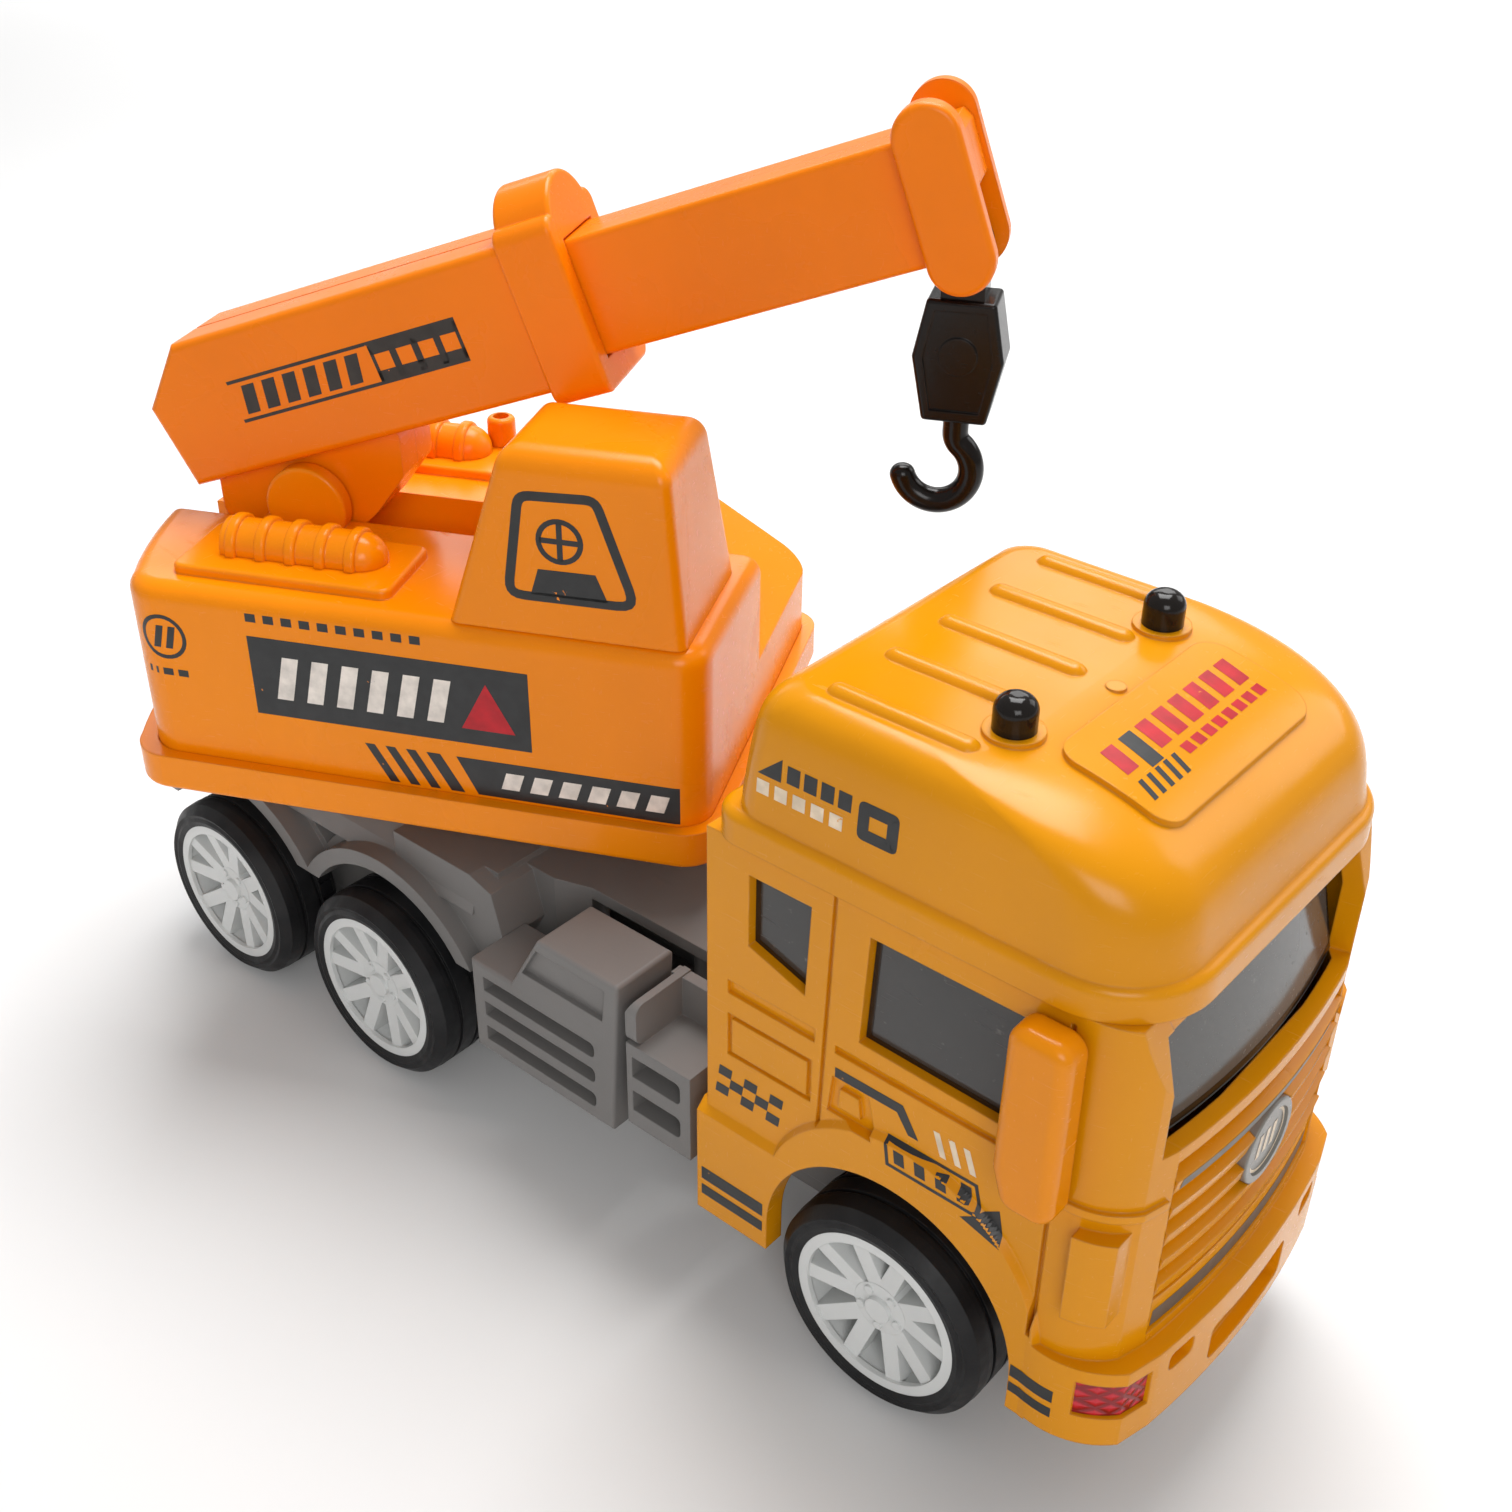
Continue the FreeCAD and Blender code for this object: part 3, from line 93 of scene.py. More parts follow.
# ---- materials ---------------------------------------------------------------
class Graph:
    """Small helper that adds nodes and links to one material."""

    def __init__(self, name):
        self.mat = bpy.data.materials.new(name)
        self.mat.use_nodes = True
        self.tree = self.mat.node_tree
        self.tree.nodes.clear()
        self.out = self.add("ShaderNodeOutputMaterial")
        self.shader = self.add("ShaderNodeBsdfPrincipled")
        self.link(self.shader.outputs[0], self.out.inputs[0])
        self.coord = self.add("ShaderNodeTexCoord").outputs["Object"]

    def add(self, kind, **values):
        node = self.tree.nodes.new(kind)
        for key, value in values.items():
            if hasattr(node, key):
                setattr(node, key, value)
            else:
                node.inputs[key].default_value = value
        return node

    def link(self, a, b):
        self.tree.links.new(a, b)

    def noise(self, scale, detail=3.0, stretch=None, distortion=0.0):
        source = self.coord
        if stretch:
            mapping = self.add("ShaderNodeMapping")
            mapping.inputs["Scale"].default_value = stretch
            self.link(self.coord, mapping.inputs["Vector"])
            source = mapping.outputs[0]
        node = self.add("ShaderNodeTexNoise", Scale=scale, Detail=detail, Distortion=distortion)
        self.link(source, node.inputs["Vector"])
        return node.outputs["Fac"]

    def ramp(self, source, lo, hi, low=0.0, high=1.0):
        node = self.add("ShaderNodeMapRange")
        node.inputs["From Min"].default_value = lo
        node.inputs["From Max"].default_value = hi
        node.inputs["To Min"].default_value = low
        node.inputs["To Max"].default_value = high
        self.link(source, node.inputs["Value"])
        return node.outputs[0]

    def math(self, operation, a, b):
        node = self.add("ShaderNodeMath", operation=operation)
        for socket, value in zip(node.inputs, (a, b)):
            if isinstance(value, (int, float)):
                socket.default_value = value
            else:
                self.link(value, socket)
        return node.outputs[0]

    def mix(self, factor, a, b):
        node = self.add("ShaderNodeMix", data_type="RGBA")
        for socket, value in ((node.inputs[0], factor), (node.inputs[6], a), (node.inputs[7], b)):
            if isinstance(value, (int, float)):
                socket.default_value = value
            elif isinstance(value, tuple):
                socket.default_value = (*value[:3], 1.0)
            else:
                self.link(value, socket)
        return node.outputs[2]

    def bump(self, height, strength, distance, normal=None):
        node = self.add("ShaderNodeBump", Strength=strength, Distance=distance)
        self.link(height, node.inputs["Height"])
        if normal is not None:
            self.link(normal, node.inputs["Normal"])
        return node.outputs[0]

    def set(self, **values):
        for key, value in values.items():
            socket = self.shader.inputs[key.replace("_", " ")]
            if isinstance(value, (int, float)):
                socket.default_value = value
            elif isinstance(value, tuple):
                socket.default_value = (*value[:3], 1.0)
            else:
                self.link(value, socket)


def shade(color, k):
    return tuple(min(1.0, c * k) for c in color)


def edge_mask(g, radius):
    """Rounded-edge normal, and a mask that is 1 on sharp edges."""
    bevel = g.add("ShaderNodeBevel", samples=4, Radius=radius)
    flat = g.add("ShaderNodeNewGeometry").outputs["Normal"]
    dot = g.add("ShaderNodeVectorMath", operation="DOT_PRODUCT")
    g.link(bevel.outputs[0], dot.inputs[0])
    g.link(flat, dot.inputs[1])
    return bevel.outputs[0], g.ramp(dot.outputs["Value"], 0.995, 0.86)


def plastic(name, color, rough, wear=0.35, mottle=0.05, grain=0.05, edge=0.28, scratch=0.18):
    """Moulded plastic: flow marks, fine grain, hairline scratches and paler worn edges (radius in mm)."""
    g = Graph(name)
    flow = g.noise(26, 4, (1.0, 1.0, 0.55), 0.6)
    cloud = g.noise(9, 2)
    tone = g.mix(g.ramp(flow, 0.35, 0.65), shade(color, 1 - mottle), shade(color, 1 + mottle))
    tone = g.mix(g.ramp(cloud, 0.35, 0.7, 0.0, 0.25), tone, shade(color, 0.93))
    normal, edges = edge_mask(g, edge * MM)
    patchy = g.math("MULTIPLY", edges, g.ramp(g.noise(260, 3), 0.42, 0.62, 0.15, 1.0))
    pale = tuple(c + (1 - c) * 0.16 for c in color)
    tone = g.mix(g.math("MULTIPLY", patchy, wear), tone, pale)
    hair = g.ramp(g.noise(150, 4, (1.0, 6.0, 22.0)), 0.66, 0.72)
    hair2 = g.ramp(g.noise(170, 4, (20.0, 1.2, 5.0)), 0.67, 0.73)
    lines = g.math("MAXIMUM", hair, hair2)
    smear = g.ramp(g.noise(55, 5, None, 0.4), 0.3, 0.75, rough - 0.05, rough + 0.09)
    roughness = g.math("ADD", smear, g.math("MULTIPLY", lines, scratch))
    bumped = g.bump(g.noise(1500, 2), grain, 0.00012, normal)
    bumped = g.bump(lines, 0.06, 0.00008, bumped)
    waves = g.bump(g.noise(34, 2), 0.10, 0.0006, bumped)
    g.set(Base_Color=tone, Roughness=roughness, Normal=waves, IOR=1.46, Specular_IOR_Level=0.3)
    return g.mat


def tyre_rubber(name):
    """Soft black plastic, dusty, with scuffed edges."""
    g = Graph(name)
    dust = g.ramp(g.noise(120, 6, None, 0.5), 0.42, 0.72)
    normal, edges = edge_mask(g, 0.2 * MM)
    tone = g.mix(dust, (0.009, 0.009, 0.010), (0.020, 0.020, 0.021))
    scuffs = g.ramp(g.noise(900, 3), 0.5, 0.75)
    tone = g.mix(g.math("MULTIPLY", edges, scuffs), tone, (0.055, 0.054, 0.052))
    rough = g.ramp(g.noise(420, 4), 0.3, 0.7, 0.38, 0.56)
    bumped = g.bump(g.noise(2200, 3), 0.16, 0.00012, normal)
    g.set(Base_Color=tone, Roughness=rough, Normal=bumped, Specular_IOR_Level=0.28)
    return g.mat


def dark_glass(name, color):
    """Tinted pane with specks, scuffs and a slight wave."""
    rough = 0.1
    g = Graph(name)
    tone = g.mix(g.ramp(g.noise(30, 3), 0.4, 0.6), shade(color, 0.9), shade(color, 1.12))
    specks = g.ramp(g.noise(700, 4), 0.68, 0.76)
    scuff = g.ramp(g.noise(160, 4, (1.0, 9.0, 16.0)), 0.62, 0.7)
    tone = g.mix(g.math("MULTIPLY", specks, 0.35), tone, (0.25, 0.24, 0.22))
    haze = g.ramp(g.noise(60, 4), 0.3, 0.7, rough, rough + 0.07)
    roughness = g.math("ADD", haze, g.math("MULTIPLY", scuff, 0.22))
    normal, _ = edge_mask(g, 0.15 * MM)
    wave = g.bump(g.noise(45, 2), 0.12, 0.0005, normal)
    g.set(Base_Color=tone, Roughness=roughness, Normal=wave, IOR=1.5)
    return g.mat


def print_ink(name, color, host, chips=0.72, rough=0.36):
    """Pad-printed ink: a little uneven, with small chips that show the plastic below."""
    g = Graph(name)
    tone = g.mix(g.ramp(g.noise(420, 4), 0.35, 0.7), shade(color, 0.85), shade(color, 1.2))
    chip = g.ramp(g.noise(520, 5, None, 0.3), chips, chips + 0.02)
    tone = g.mix(chip, tone, host)
    roughness = g.ramp(g.noise(200, 4), 0.3, 0.7, rough - 0.06, rough + 0.08)
    g.set(Base_Color=tone, Roughness=roughness, Normal=g.bump(g.noise(1400, 3), 0.10, 0.0001), IOR=1.45)
    return g.mat


def steel(name):
    """Zinc-plated steel, brushed round its axis."""
    g = Graph(name)
    tone = g.mix(g.ramp(g.noise(300, 4), 0.3, 0.7), (0.42, 0.42, 0.43), (0.66, 0.66, 0.66))
    rough = g.ramp(g.noise(260, 3, (1.0, 14.0, 1.0)), 0.3, 0.7, 0.24, 0.42)
    g.set(Base_Color=tone, Roughness=rough, Metallic=1.0, Normal=g.bump(g.noise(900, 3), 0.08, 0.0001))
    return g.mat


def red_lens(name):
    """Red lamp moulding with a small diamond pattern."""
    g = Graph(name)
    heights = []
    for turn in (0.75, -0.75):
        mapping = g.add("ShaderNodeMapping")
        mapping.inputs["Rotation"].default_value = (turn, 0, 0)
        g.link(g.coord, mapping.inputs["Vector"])
        wave = g.add("ShaderNodeTexWave", bands_direction="Z", Scale=210.0, Distortion=0.0)
        g.link(mapping.outputs[0], wave.inputs["Vector"])
        heights.append(wave.outputs["Fac"])
    cross = g.math("MINIMUM", *heights)
    tone = g.mix(g.ramp(cross, 0.1, 0.6), (0.24, 0.004, 0.010), (0.58, 0.012, 0.028))
    g.set(Base_Color=tone, Roughness=0.22, Normal=g.bump(cross, 0.6, 0.0004), IOR=1.5)
    return g.mat


CAB = (0.70, 0.270, 0.001)
ORANGE = (0.88, 0.250, 0.0)
DEEP = (0.88, 0.205, 0.0)
GREY = (0.180, 0.172, 0.166)
MIRROR = (0.80, 0.255, 0.001)
INK = (0.020, 0.021, 0.022)

MATS = {
    "cab": plastic("cab_yellow_plastic", CAB, 0.20, edge=0.35),
    "upper": plastic("superstructure_plastic", ORANGE, 0.24, edge=0.4),
    "boom": plastic("boom_plastic", DEEP, 0.26, edge=0.35),
    "mirror": plastic("mirror_plastic", MIRROR, 0.18, edge=0.3),
    "grey": plastic("chassis_plastic", GREY, 0.38, wear=0.5, mottle=0.06, grain=0.10, edge=0.25),
    "rim": plastic("rim_plastic", (0.68, 0.69, 0.68), 0.36, wear=0.2, mottle=0.03, grain=0.08, edge=0.2),
    "tyre": tyre_rubber("tyre_black"),
    "hook": plastic("hook_plastic", (0.007, 0.005, 0.004), 0.16, wear=0.12, edge=0.3, scratch=0.12),
    "beacon": plastic("beacon_plastic", (0.010, 0.008, 0.007), 0.10, wear=0.1, edge=0.2, scratch=0.05),
    "glass": dark_glass("tinted_glass", (0.036, 0.035, 0.034)),
    # windscreen: the same tinted glass as the side panes, but with a lighter tint that is painted
    # reflection of the bright surroundings
    "screen": dark_glass("windscreen_glass_painted_reflection", (0.095, 0.093, 0.088)),
    "steel": steel("zinc_steel"),
    "lens": red_lens("lamp_red"),
    "badge": plastic("badge_plastic", (0.23, 0.22, 0.20), 0.25, edge=0.15),
    "ink_cab": print_ink("black_ink_on_cab", INK, CAB),
    "ink_up": print_ink("black_ink_on_upper", INK, ORANGE),
    "ink_boom": print_ink("black_ink_on_boom", (0.030, 0.026, 0.022), DEEP, 0.70),
    "strip": print_ink("grey_ink_on_grille", (0.085, 0.085, 0.078), CAB),
    "white": print_ink("white_ink", (0.72, 0.66, 0.60), INK, 0.70),
    "white_cab": print_ink("white_ink_on_cab", (0.74, 0.60, 0.44), CAB, 0.68),
    "red": print_ink("red_ink", (0.44, 0.002, 0.010), CAB, 0.74),
    "border": print_ink("window_border_ink", (0.014, 0.009, 0.006), (0.05, 0.05, 0.05), 0.85, 0.2),
}


# The first prefix that fits a node's name gives its material; the rest is superstructure plastic.
NODE_PREFIXES = (
    ("tyre", "tyre"), ("rim", "rim"), ("axle", "steel"), ("side_tank", "grey"), ("side_step", "grey"),
    ("chassis", "grey"), ("underside", "grey"), ("lamp", "lens"), ("mirror", "mirror"),
    ("cab_screws", "steel"), ("cab_", "cab"), ("front_grille", "cab"), ("front_emblem", "badge"),
    ("windscreen", "screen"), ("side_glass", "glass"), ("roof_beacons", "beacon"),
    ("slew_post", "grey"), ("slew_base", "upper"), ("slew_", "steel"), ("hook_pin", "steel"),
    ("hook", "hook"), ("boom_screws", "steel"), ("boom_pivot", "steel"), ("boom_collar", "boom"),
    ("outer_boom", "boom"), ("inner_boom", "boom"), ("head_plate", "boom"),
    ("base_screws", "steel"), ("housing_screws", "steel"))


def node_material(name):
    for prefix, key in NODE_PREFIXES:
        if name.startswith(prefix):
            return MATS[key]
    return MATS["upper"]


def dress_nodes():
    for name, obj in NODES.items():
        obj.data.materials.clear()
        obj.data.materials.append(node_material(name))


# ---- printed trim ------------------------------------------------------------
def host_tree(names):
    """Ray-casting tree over the named CAD nodes."""
    verts, faces = [], []
    for name in names:
        mesh = NODES[name].data
        base = len(verts)
        verts += [v.co.copy() for v in mesh.vertices]
        faces += [[base + i for i in p.vertices] for p in mesh.polygons]
    return BVHTree.FromPolygons(verts, faces)


TREES = {}


def lay_on(bm, hosts, normal, lift):
    """Drop every vertex on the host surface along -normal and lift it a little; drop what misses it."""
    tree = TREES.setdefault(hosts, host_tree(hosts))
    missed = []
    for v in bm.verts:
        hit, n, _, _ = tree.ray_cast(v.co, -normal)
        if hit is None:
            missed.append(v)
        else:
            v.co = hit + (n if n.dot(normal) > 0.3 else normal) * lift
    bmesh.ops.delete(bm, geom=missed, context="VERTS")


def trim_piece(name, body, mat, place, axes, outlines, hosts, step=None, lift=PRINT_LIFT):
    """Thin printed shapes laid on the hosts.

    axes are the outline's u and v and the way the print faces, in the place frame. step, in mm, cuts the
    shapes up so that they follow a curved or stepped surface.
    """
    u, v, out = (place.to_3x3() @ Vector(a) for a in axes)
    bm = bmesh.new()
    for outline in outlines:
        pts = [place.translation + u * (a * MM) + v * (b * MM) + out * REACH for a, b in outline]
        bm.faces.new([bm.verts.new(p) for p in pts])
    bmesh.ops.triangulate(bm, faces=bm.faces[:])
    if step:
        for axis in (u, v):
            values = [(w.co - place.translation).dot(axis) for w in bm.verts]
            cut = min(values) + step * MM
            while cut < max(values):
                geom = bm.verts[:] + bm.edges[:] + bm.faces[:]
                at = place.translation + axis * cut
                bmesh.ops.bisect_plane(bm, geom=geom, plane_co=at, plane_no=axis)
                cut += step * MM
    lay_on(bm, hosts, out, lift * MM)
    bmesh.ops.recalc_face_normals(bm, faces=bm.faces[:])
    for face in bm.faces:
        if face.normal.dot(out) < 0:
            face.normal_flip()
    mesh = bpy.data.meshes.new(name)
    bm.to_mesh(mesh)
    bm.free()
    mesh.materials.append(mat)
    obj = bpy.data.objects.new(name, mesh)
    SCENE.collection.objects.link(obj)
    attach(obj, body)


def rect(u0, v0, u1, v1):
    return [(u0, v0), (u1, v0), (u1, v1), (u0, v1)]


def slant(u0, v0, width, height, lean):
    """Parallelogram whose top is shifted by lean."""
    return [(u0, v0), (u0 + width, v0), (u0 + width + lean, v0 + height), (u0 + lean, v0 + height)]


def frame_strips(outline, width):
    """Closed border of the given width inside an outline, as one quad per side."""
    n = len(outline)
    area = 0
    for (u0, v0), (u1, v1) in zip(outline, outline[1:] + outline[:1]):
        area += u0 * v1 - u1 * v0
    turn = 1 if area > 0 else -1
    inner = []
    for i in range(n):
        p0, p1, p2 = (Vector(outline[j % n]) for j in (i - 1, i, i + 1))
        d1, d2 = (p1 - p0).normalized(), (p2 - p1).normalized()
        n1, n2 = Vector((-d1.y, d1.x)) * turn, Vector((-d2.y, d2.x)) * turn
        bis = (n1 + n2).normalized()
        inner.append(tuple(p1 + bis * (width / max(0.3, bis.dot(n1)))))
    return [[outline[i], outline[(i + 1) % n], inner[(i + 1) % n], inner[i]] for i in range(n)]


def round_corners(outline, r):
    """The outline with every corner replaced by a short curve."""
    steps = 5
    n, out = len(outline), []
    for i in range(n):
        p0, p1, p2 = (Vector(outline[j % n]) for j in (i - 1, i, i + 1))
        a, b = (p0 - p1).normalized(), (p2 - p1).normalized()
        half = math.acos(max(-1, min(1, a.dot(b)))) / 2
        reach = min(r / math.tan(half), (p0 - p1).length * 0.45, (p2 - p1).length * 0.45)
        s, e = p1 + a * reach, p1 + b * reach
        for k in range(steps + 1):
            t = k / steps
            out.append(tuple(s * (1 - t) ** 2 + p1 * 2 * t * (1 - t) + e * t ** 2))
    return out


def ring(cu, cv, r, steps=28):
    return [(cu + r * math.cos(2 * math.pi * i / steps), cv + r * math.sin(2 * math.pi * i / steps))
            for i in range(steps)]


def upper_trim():
    """Prints on both sides of the housing, and the window print on the operator's cabin."""
    hosts = ("upper_housing",)
    for side, tag in ((-1, "right"), (1, "left")):
        flip = 1 if side < 0 else -1
        axes = ((1, 0, 0), (0, 0, 1), (0, side, 0))

        def put(name, key, shapes, lift=PRINT_LIFT, step=None):
            trim_piece(f"{name}_{tag}", "superstructure", MATS[key], UPPER, axes, shapes,
                       hosts, step, lift)

        put("side_panel_print", "ink_up", [rect(-8.5, 64.3, 33.5, 77.0)])
        bars = [slant(-5.0 + i * 4.6, 67.2, 2.5, 7.0, 1.6 * flip) for i in range(6)]
        put("side_panel_bars", "white", bars, lift=OVERPRINT_LIFT)
        triangle = [(23.2, 66.8), (31.2, 66.8), (27.2, 74.4)]
        put("side_panel_triangle", "red", [triangle], lift=OVERPRINT_LIFT)
        ticks = [rect(-8.3 + i * 2.75, 79.3, -6.7 + i * 2.75, 80.6) for i in range(10)]
        put("side_tick_print", "ink_up", ticks)
        lean = -3.4
        slashes = [slant(7.9 + i * 3.15 - lean, 55.8, 1.5 if i < 3 else 2.1, 6.0, lean) for i in range(4)]
        put("stripe_print", "ink_up", slashes)
        put("bar_print", "ink_up", [[(24.9, 55.8), (55.0, 55.8), (55.0, 61.8), (21.9, 61.8)]], step=1.8)
        dashes = [slant(28.5 + i * 4.3, 57.4, 2.7, 2.8, 0.9 * flip) for i in range(6)]
        put("bar_dashes", "white", dashes, lift=DASH_LIFT, step=1.8)
        put("round_print", "ink_up", frame_strips(ring(-21.8, 74.9, 3.6), 0.62), step=1.5)
        put("round_mark", "ink_up", [slant(-23.6 + i * 1.9, 73.1, 1.1, 3.6, 0.9) for i in range(2)])
        dots = [rect(-25.2 + i * 2.4, 68.6, -23.6 + i * 2.4, 69.7) for i in range(3)]
        put("round_underline", "ink_up", dots)
    window = [(30.4, 88.0), (50.0, 88.2), (44.4, 104.4), (32.8, 103.9)]
    outline = round_corners(window, 2.6)
    axes = ((1, 0, 0), (0, 0, 1), (0, -1, 0))
    shapes = frame_strips(outline, 1.35)
    shapes += frame_strips(ring(38.8, 97.2, 3.3), 0.75)
    shapes += [rect(38.4, 94.4, 39.2, 100.0), rect(36.0, 96.8, 41.6, 97.6)]
    shapes += [[(34.4, 89.0), (45.2, 89.1), (43.6, 93.0), (35.6, 92.9)]]
    trim_piece("cabin_window_print", "superstructure", MATS["ink_up"], UPPER, axes, shapes,
               ("operator_cabin",))


def boom_trim():
    """Leaning bars and a row of open boxes between two thin rules, on both sides of the outer boom."""
    sin_luff, cos_luff = BOOM.to_3x3().col[0].z, BOOM.to_3x3().col[2].z
    pivot = UPPER.inverted() @ BOOM.translation

    def boom_point(x, z):
        """Superstructure millimetres to boom millimetres."""
        dx, dz = x - pivot.x / MM, z - pivot.z / MM
        return dx * cos_luff + dz * sin_luff, -dx * sin_luff + dz * cos_luff

    corners = [boom_point(*p) for p in ((-20.2, 104.5), (16.1, 117.2), (18.2, 111.4), (-18.4, 98.0))]
    u0, u1 = (corners[0][0] + corners[3][0]) / 2, (corners[1][0] + corners[2][0]) / 2
    top, low = (corners[0][1] + corners[1][1]) / 2, (corners[2][1] + corners[3][1]) / 2
    rule, gap, post = 0.5, 1.1, 0.55
    for side, tag, host in ((-1, "right", "outer_boom_right"), (1, "left", "outer_boom_left")):
        axes = ((1, 0, 0), (0, 0, 1), (0, side, 0))
        shapes = [rect(u0, top - rule, u1, top), rect(u0, low, u1, low + rule)]
        mid0, mid1 = low + gap, top - gap
        for i in range(6):
            shapes.append(slant(u0 + 1.2 + i * 3.6, mid0, 2.2, mid1 - mid0, 0.9 * -side))
        box0 = u0 + 24.2
        slots = 4
        pitch = (u1 - box0) / slots
        for i in range(slots + 1):
            at = box0 + i * pitch
            left, right = at - (post if i else 0), at + (post if i < slots else 0)
            shapes.append(rect(left, low + rule, right, top - rule))
        shapes += [rect(box0, low + rule, u1, low + 2.0), rect(box0, top - 2.0, u1, top - rule)]
        trim_piece(f"boom_print_{tag}", "outer_boom", MATS["ink_boom"], BOOM, axes, shapes,
                   (host,))


def checker(u0, v0, cols, rows, w, h, lean):
    """Every other cell of a leaning grid."""
    cells = [(c, r) for c in range(cols) for r in range(rows) if (c + r) % 2 == 0]
    return [slant(u0 + c * w + lean * r, v0 + r * h, w, h, lean) for c, r in cells]


def cab_trim():
    """Prints on both sides of the cab and of its roof."""
    shell, roof = ("cab_shell",), ("cab_roof",)
    for side, tag in ((-1, "right"), (1, "left")):
        axes = ((1, 0, 0), (0, 0, 1), (0, side, 0))

        def put(name, key, shapes, hosts=shell, step=None):
            trim_piece(f"{name}_{tag}", "truck", MATS[key], TRUCK, axes, shapes, hosts, step)

        put("check_print", "ink_cab", checker(-26.6, 38.9, 5, 3, 2.1, 1.6, 0.25))
        put("skirt_print", "ink_cab", [rect(-28.2, 19.9, -17.6, 21.7), rect(-28.2, 22.7, -17.6, 24.9)])
        bands = [rect(21.0, 20.2, 27.0, 21.8), rect(21.0, 22.8, 27.0, 24.8)]
        put("bumper_print", "ink_cab", bands, step=1.2)
        stripe = [[(-7.6, 52.6), (1.6, 52.6), (3.4, 50.0), (4.9, 50.0), (2.4, 54.1), (-7.6, 54.1)]]
        put("door_stripe_print", "ink_cab", stripe, step=0.9)
        slashes = [slant(8.0 + 2.1 * i, 49.6, 0.9, 3.4, -1.2) for i in range(3)]
        put("door_slash_print", "white_cab", slashes, step=0.9)
        label = frame_strips([(1.2, 44.6), (14.4, 44.6), (13.4, 48.6), (0.6, 48.6)], 0.5)
        label += [slant(2.4 + 3.0 * i, 45.6, 1.5, 2.0, -0.3) for i in range(4)]
        put("door_plate_print", "ink_cab", label, step=0.35)
        arrow = [[(12.0, 43.4), (17.6, 41.8), (16.6, 46.6)]]
        put("door_arrow_print", "ink_cab", arrow, step=0.35)
        wedge = [[(-20.6, 90.3), (-17.2, 90.3), (-17.2, 93.2)]]
        wedge += [rect(-16.4 + 2.4 * i, 90.6, -14.6 + 2.4 * i, 92.8) for i in range(4)]
        put("roof_side_print", "ink_cab", wedge, roof, 1.5)
        pale = [rect(-20.6 + 2.6 * i, 87.8, -18.8 + 2.6 * i, 89.6) for i in range(5)]
        put("roof_side_pale_print", "white_cab", pale, roof, 1.5)
        block = round_corners(rect(-6.4, 88.0, -1.0, 92.8), 0.9)
        put("roof_side_block", "ink_cab", frame_strips(block, 1.5), roof, 1.5)


def roof_trim():
    """Red bars with dark slanted lines on the raised roof plate."""
    axes = ((0, 1, 0), (-1, 0, 0), (0, 0, 1))
    red = [slant(-13.6 + 3.5 * i, -17.2, 2.3, 3.9, 0.7) for i in range(8) if i != 1]
    thin = [rect(-4.6 + 2.3 * i, -19.6, -3.0 + 2.3 * i, -18.2) for i in range(8)]
    dark = [slant(-10.2, -18.2, 2.4, 4.9, 0.9)]
    dark += [slant(-14.4 + 1.7 * i, -21.0, 0.8, 2.6, 0.8) for i in range(5)]
    for name, key, shapes in (("roof_plate_red", "red", red + thin), ("roof_plate_dark", "ink_cab", dark)):
        trim_piece(name, "truck", MATS[key], TRUCK, axes, shapes, ("cab_roof",), 1.5)


def front_trim():
    """Grey strips on the grille, and a ring with three bars on the badge."""
    axes = ((0, 1, 0), (0, 0, 1), (1, 0, 0))
    strips = [rect(-19.6, 31.9, 19.6, 34.6), rect(-19.6, 54.6, 19.6, 56.3)]
    trim_piece("grille_strip_print", "truck", MATS["strip"], TRUCK, axes, strips,
               ("front_grille",), 1.6)
    badge = frame_strips(ring(0, 48.6, 4.4, 40), 0.4)
    badge += [slant(-2.4 + 1.7 * i, 46.9, 0.9, 3.4, 0.5) for i in range(3)]
    trim_piece("badge_print", "truck", MATS["white_cab"], TRUCK, axes, badge,
               ("front_emblem",))


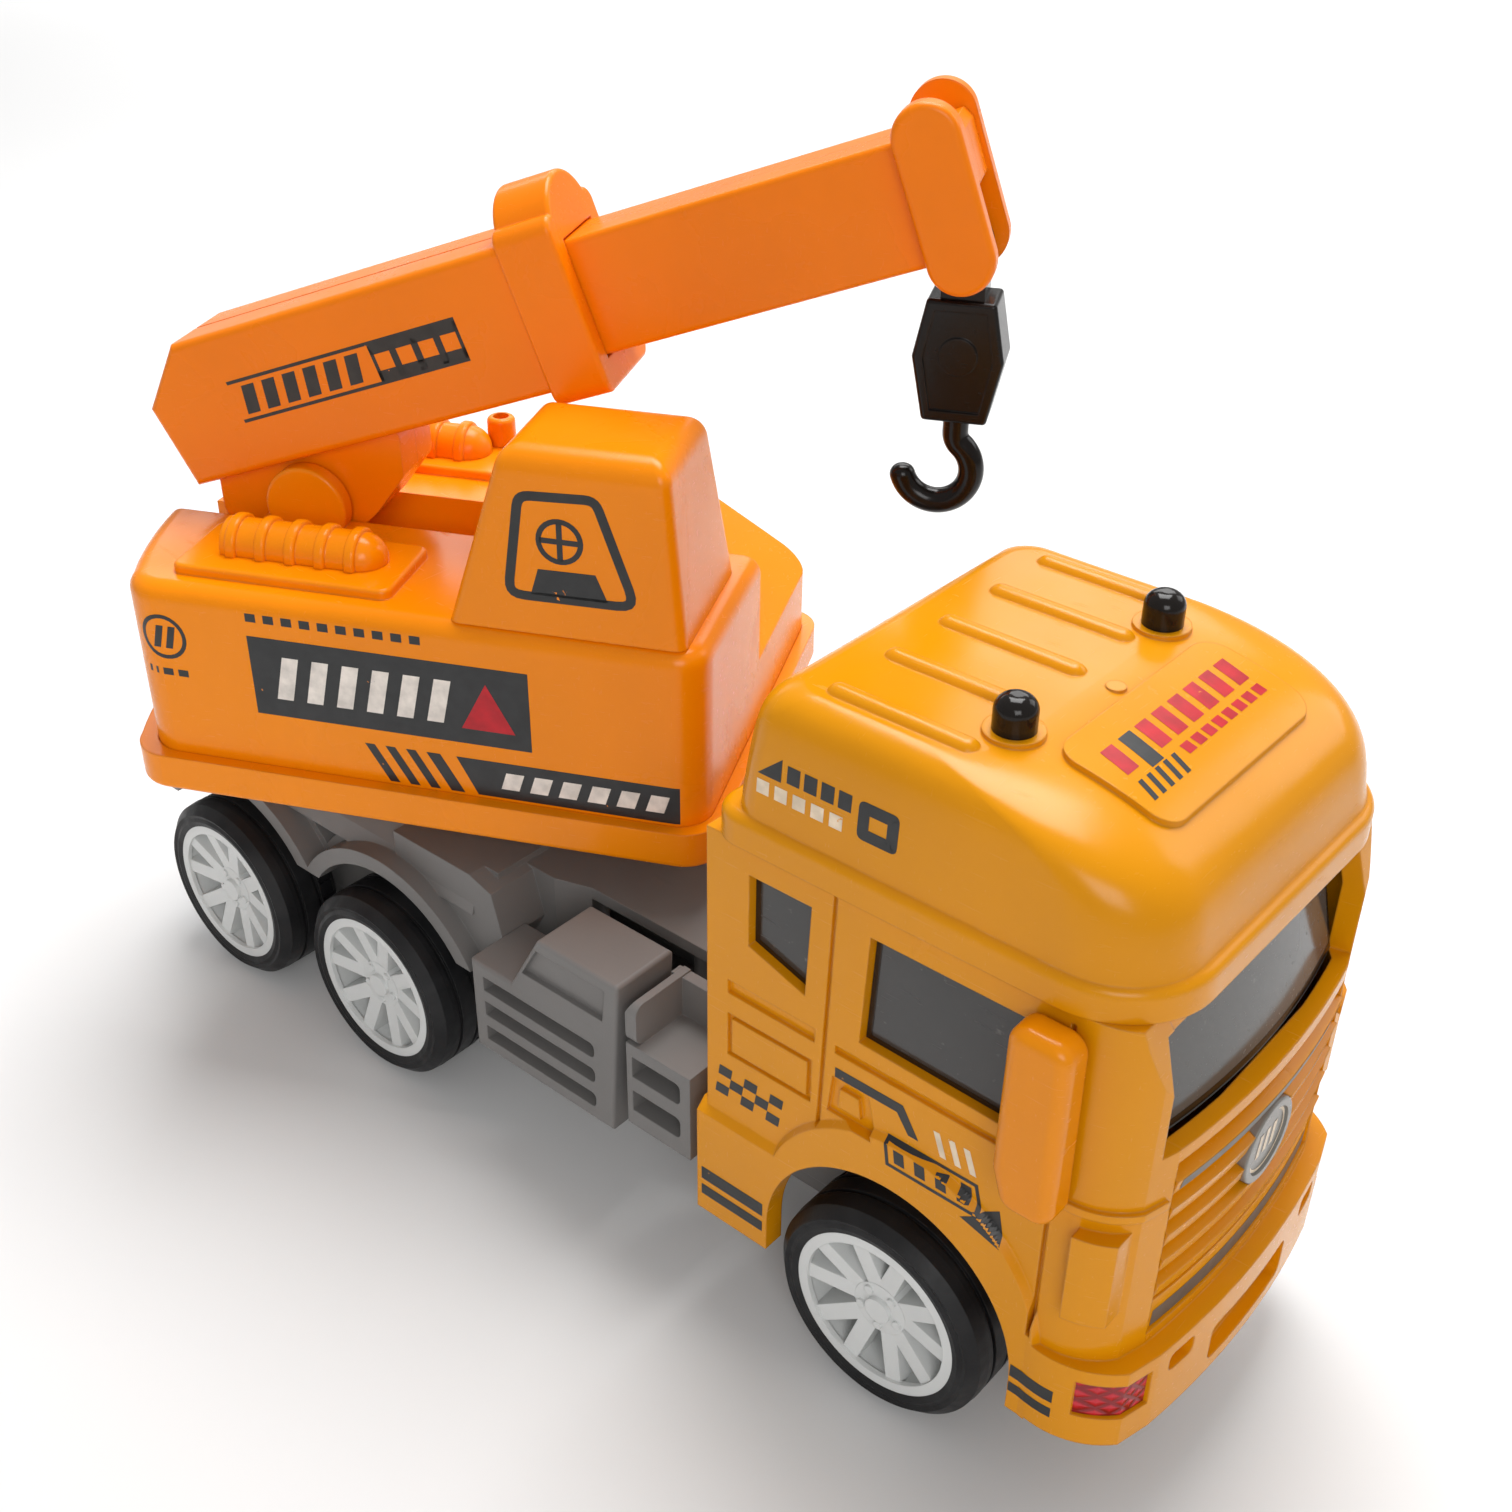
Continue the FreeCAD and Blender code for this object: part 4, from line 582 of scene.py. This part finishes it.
def window_borders():
    """Dark printed borders round the panes."""
    large = [(-3.6, 75.7), (17.6, 75.7), (17.6, 59.2), (-4.4, 59.8)]
    small = [(-21.4, 75.7), (-12.0, 75.7), (-12.6, 62.3), (-21.4, 65.2)]
    for side, tag in ((-1, "right"), (1, "left")):
        axes = ((1, 0, 0), (0, 0, 1), (0, side, 0))
        for name, outline in (("large", large), ("small", small)):
            inset = [(x * 0.985 + 0.015 * sum(p[0] for p in outline) / 4,
                      z * 0.985 + 0.015 * sum(p[1] for p in outline) / 4) for x, z in outline]
            trim_piece(f"{name}_window_border_{tag}", "truck", MATS["border"], TRUCK, axes,
                       frame_strips(inset, 0.75), (f"side_glass_{tag}",), None, BORDER_LIFT)
    axes = ((0, 1, 0), (0, 0, 1), (1, 0, 0))
    screen = [(-22.7, 61.5), (22.7, 61.5), (22.3, 76.7), (-22.3, 76.7)]
    trim_piece("windscreen_border", "truck", MATS["border"], TRUCK, axes,
               frame_strips(screen, 0.8), ("windscreen",), 1.5, BORDER_LIFT)


# ---- studio ------------------------------------------------------------------
def make_camera():
    data = bpy.data.cameras.new("camera")
    data.sensor_width = SENSOR
    data.lens = LENS
    data.clip_start = 0.01
    cam = bpy.data.objects.new("camera", data)
    SCENE.collection.objects.link(cam)
    ahead = AHEAD.normalized()
    right = (RIGHT - ahead * RIGHT.dot(ahead)).normalized()
    up = right.cross(ahead)
    cam.matrix_world = axes_matrix(right, up, -ahead, TRUCK @ (EYE * MM))
    SCENE.camera = cam


def make_floor():
    mesh = bpy.data.meshes.new("floor")
    corners = [(x * FLOOR_REACH, y * FLOOR_REACH, 0) for x, y in ((-1, -1), (1, -1), (1, 1), (-1, 1))]
    mesh.from_pydata(corners, [], [(0, 1, 2, 3)])
    floor = bpy.data.objects.new("floor", mesh)
    SCENE.collection.objects.link(floor)
    g = Graph("pale_floor")
    tone = g.mix(g.noise(3, 2), (0.74, 0.74, 0.74), (0.78, 0.78, 0.78))
    g.set(Base_Color=tone, Roughness=0.9)
    mesh.materials.append(g.mat)


def area_light(name, place, aim, size, energy):
    data = bpy.data.lights.new(name, "AREA")
    data.shape = "RECTANGLE"
    data.size, data.size_y = size
    data.energy = energy
    light = bpy.data.objects.new(name, data)
    SCENE.collection.objects.link(light)
    light.location = place
    light.rotation_euler = (Vector(aim) - Vector(place)).to_track_quat("-Z", "Y").to_euler()


def make_light():
    world = bpy.data.worlds.new("studio")
    SCENE.world = world
    world.use_nodes = True
    back = world.node_tree.nodes["Background"]
    back.inputs["Color"].default_value = (1.0, 0.99, 0.98, 1)
    back.inputs["Strength"].default_value = WORLD_STRENGTH
    for light in LIGHTS:
        area_light(*light)
    SCENE.view_settings.view_transform = "Standard"
    SCENE.view_settings.look = "None"


def main():
    make_camera()
    dress_nodes()
    upper_trim()
    boom_trim()
    cab_trim()
    roof_trim()
    front_trim()
    window_borders()
    make_floor()
    make_light()


main()
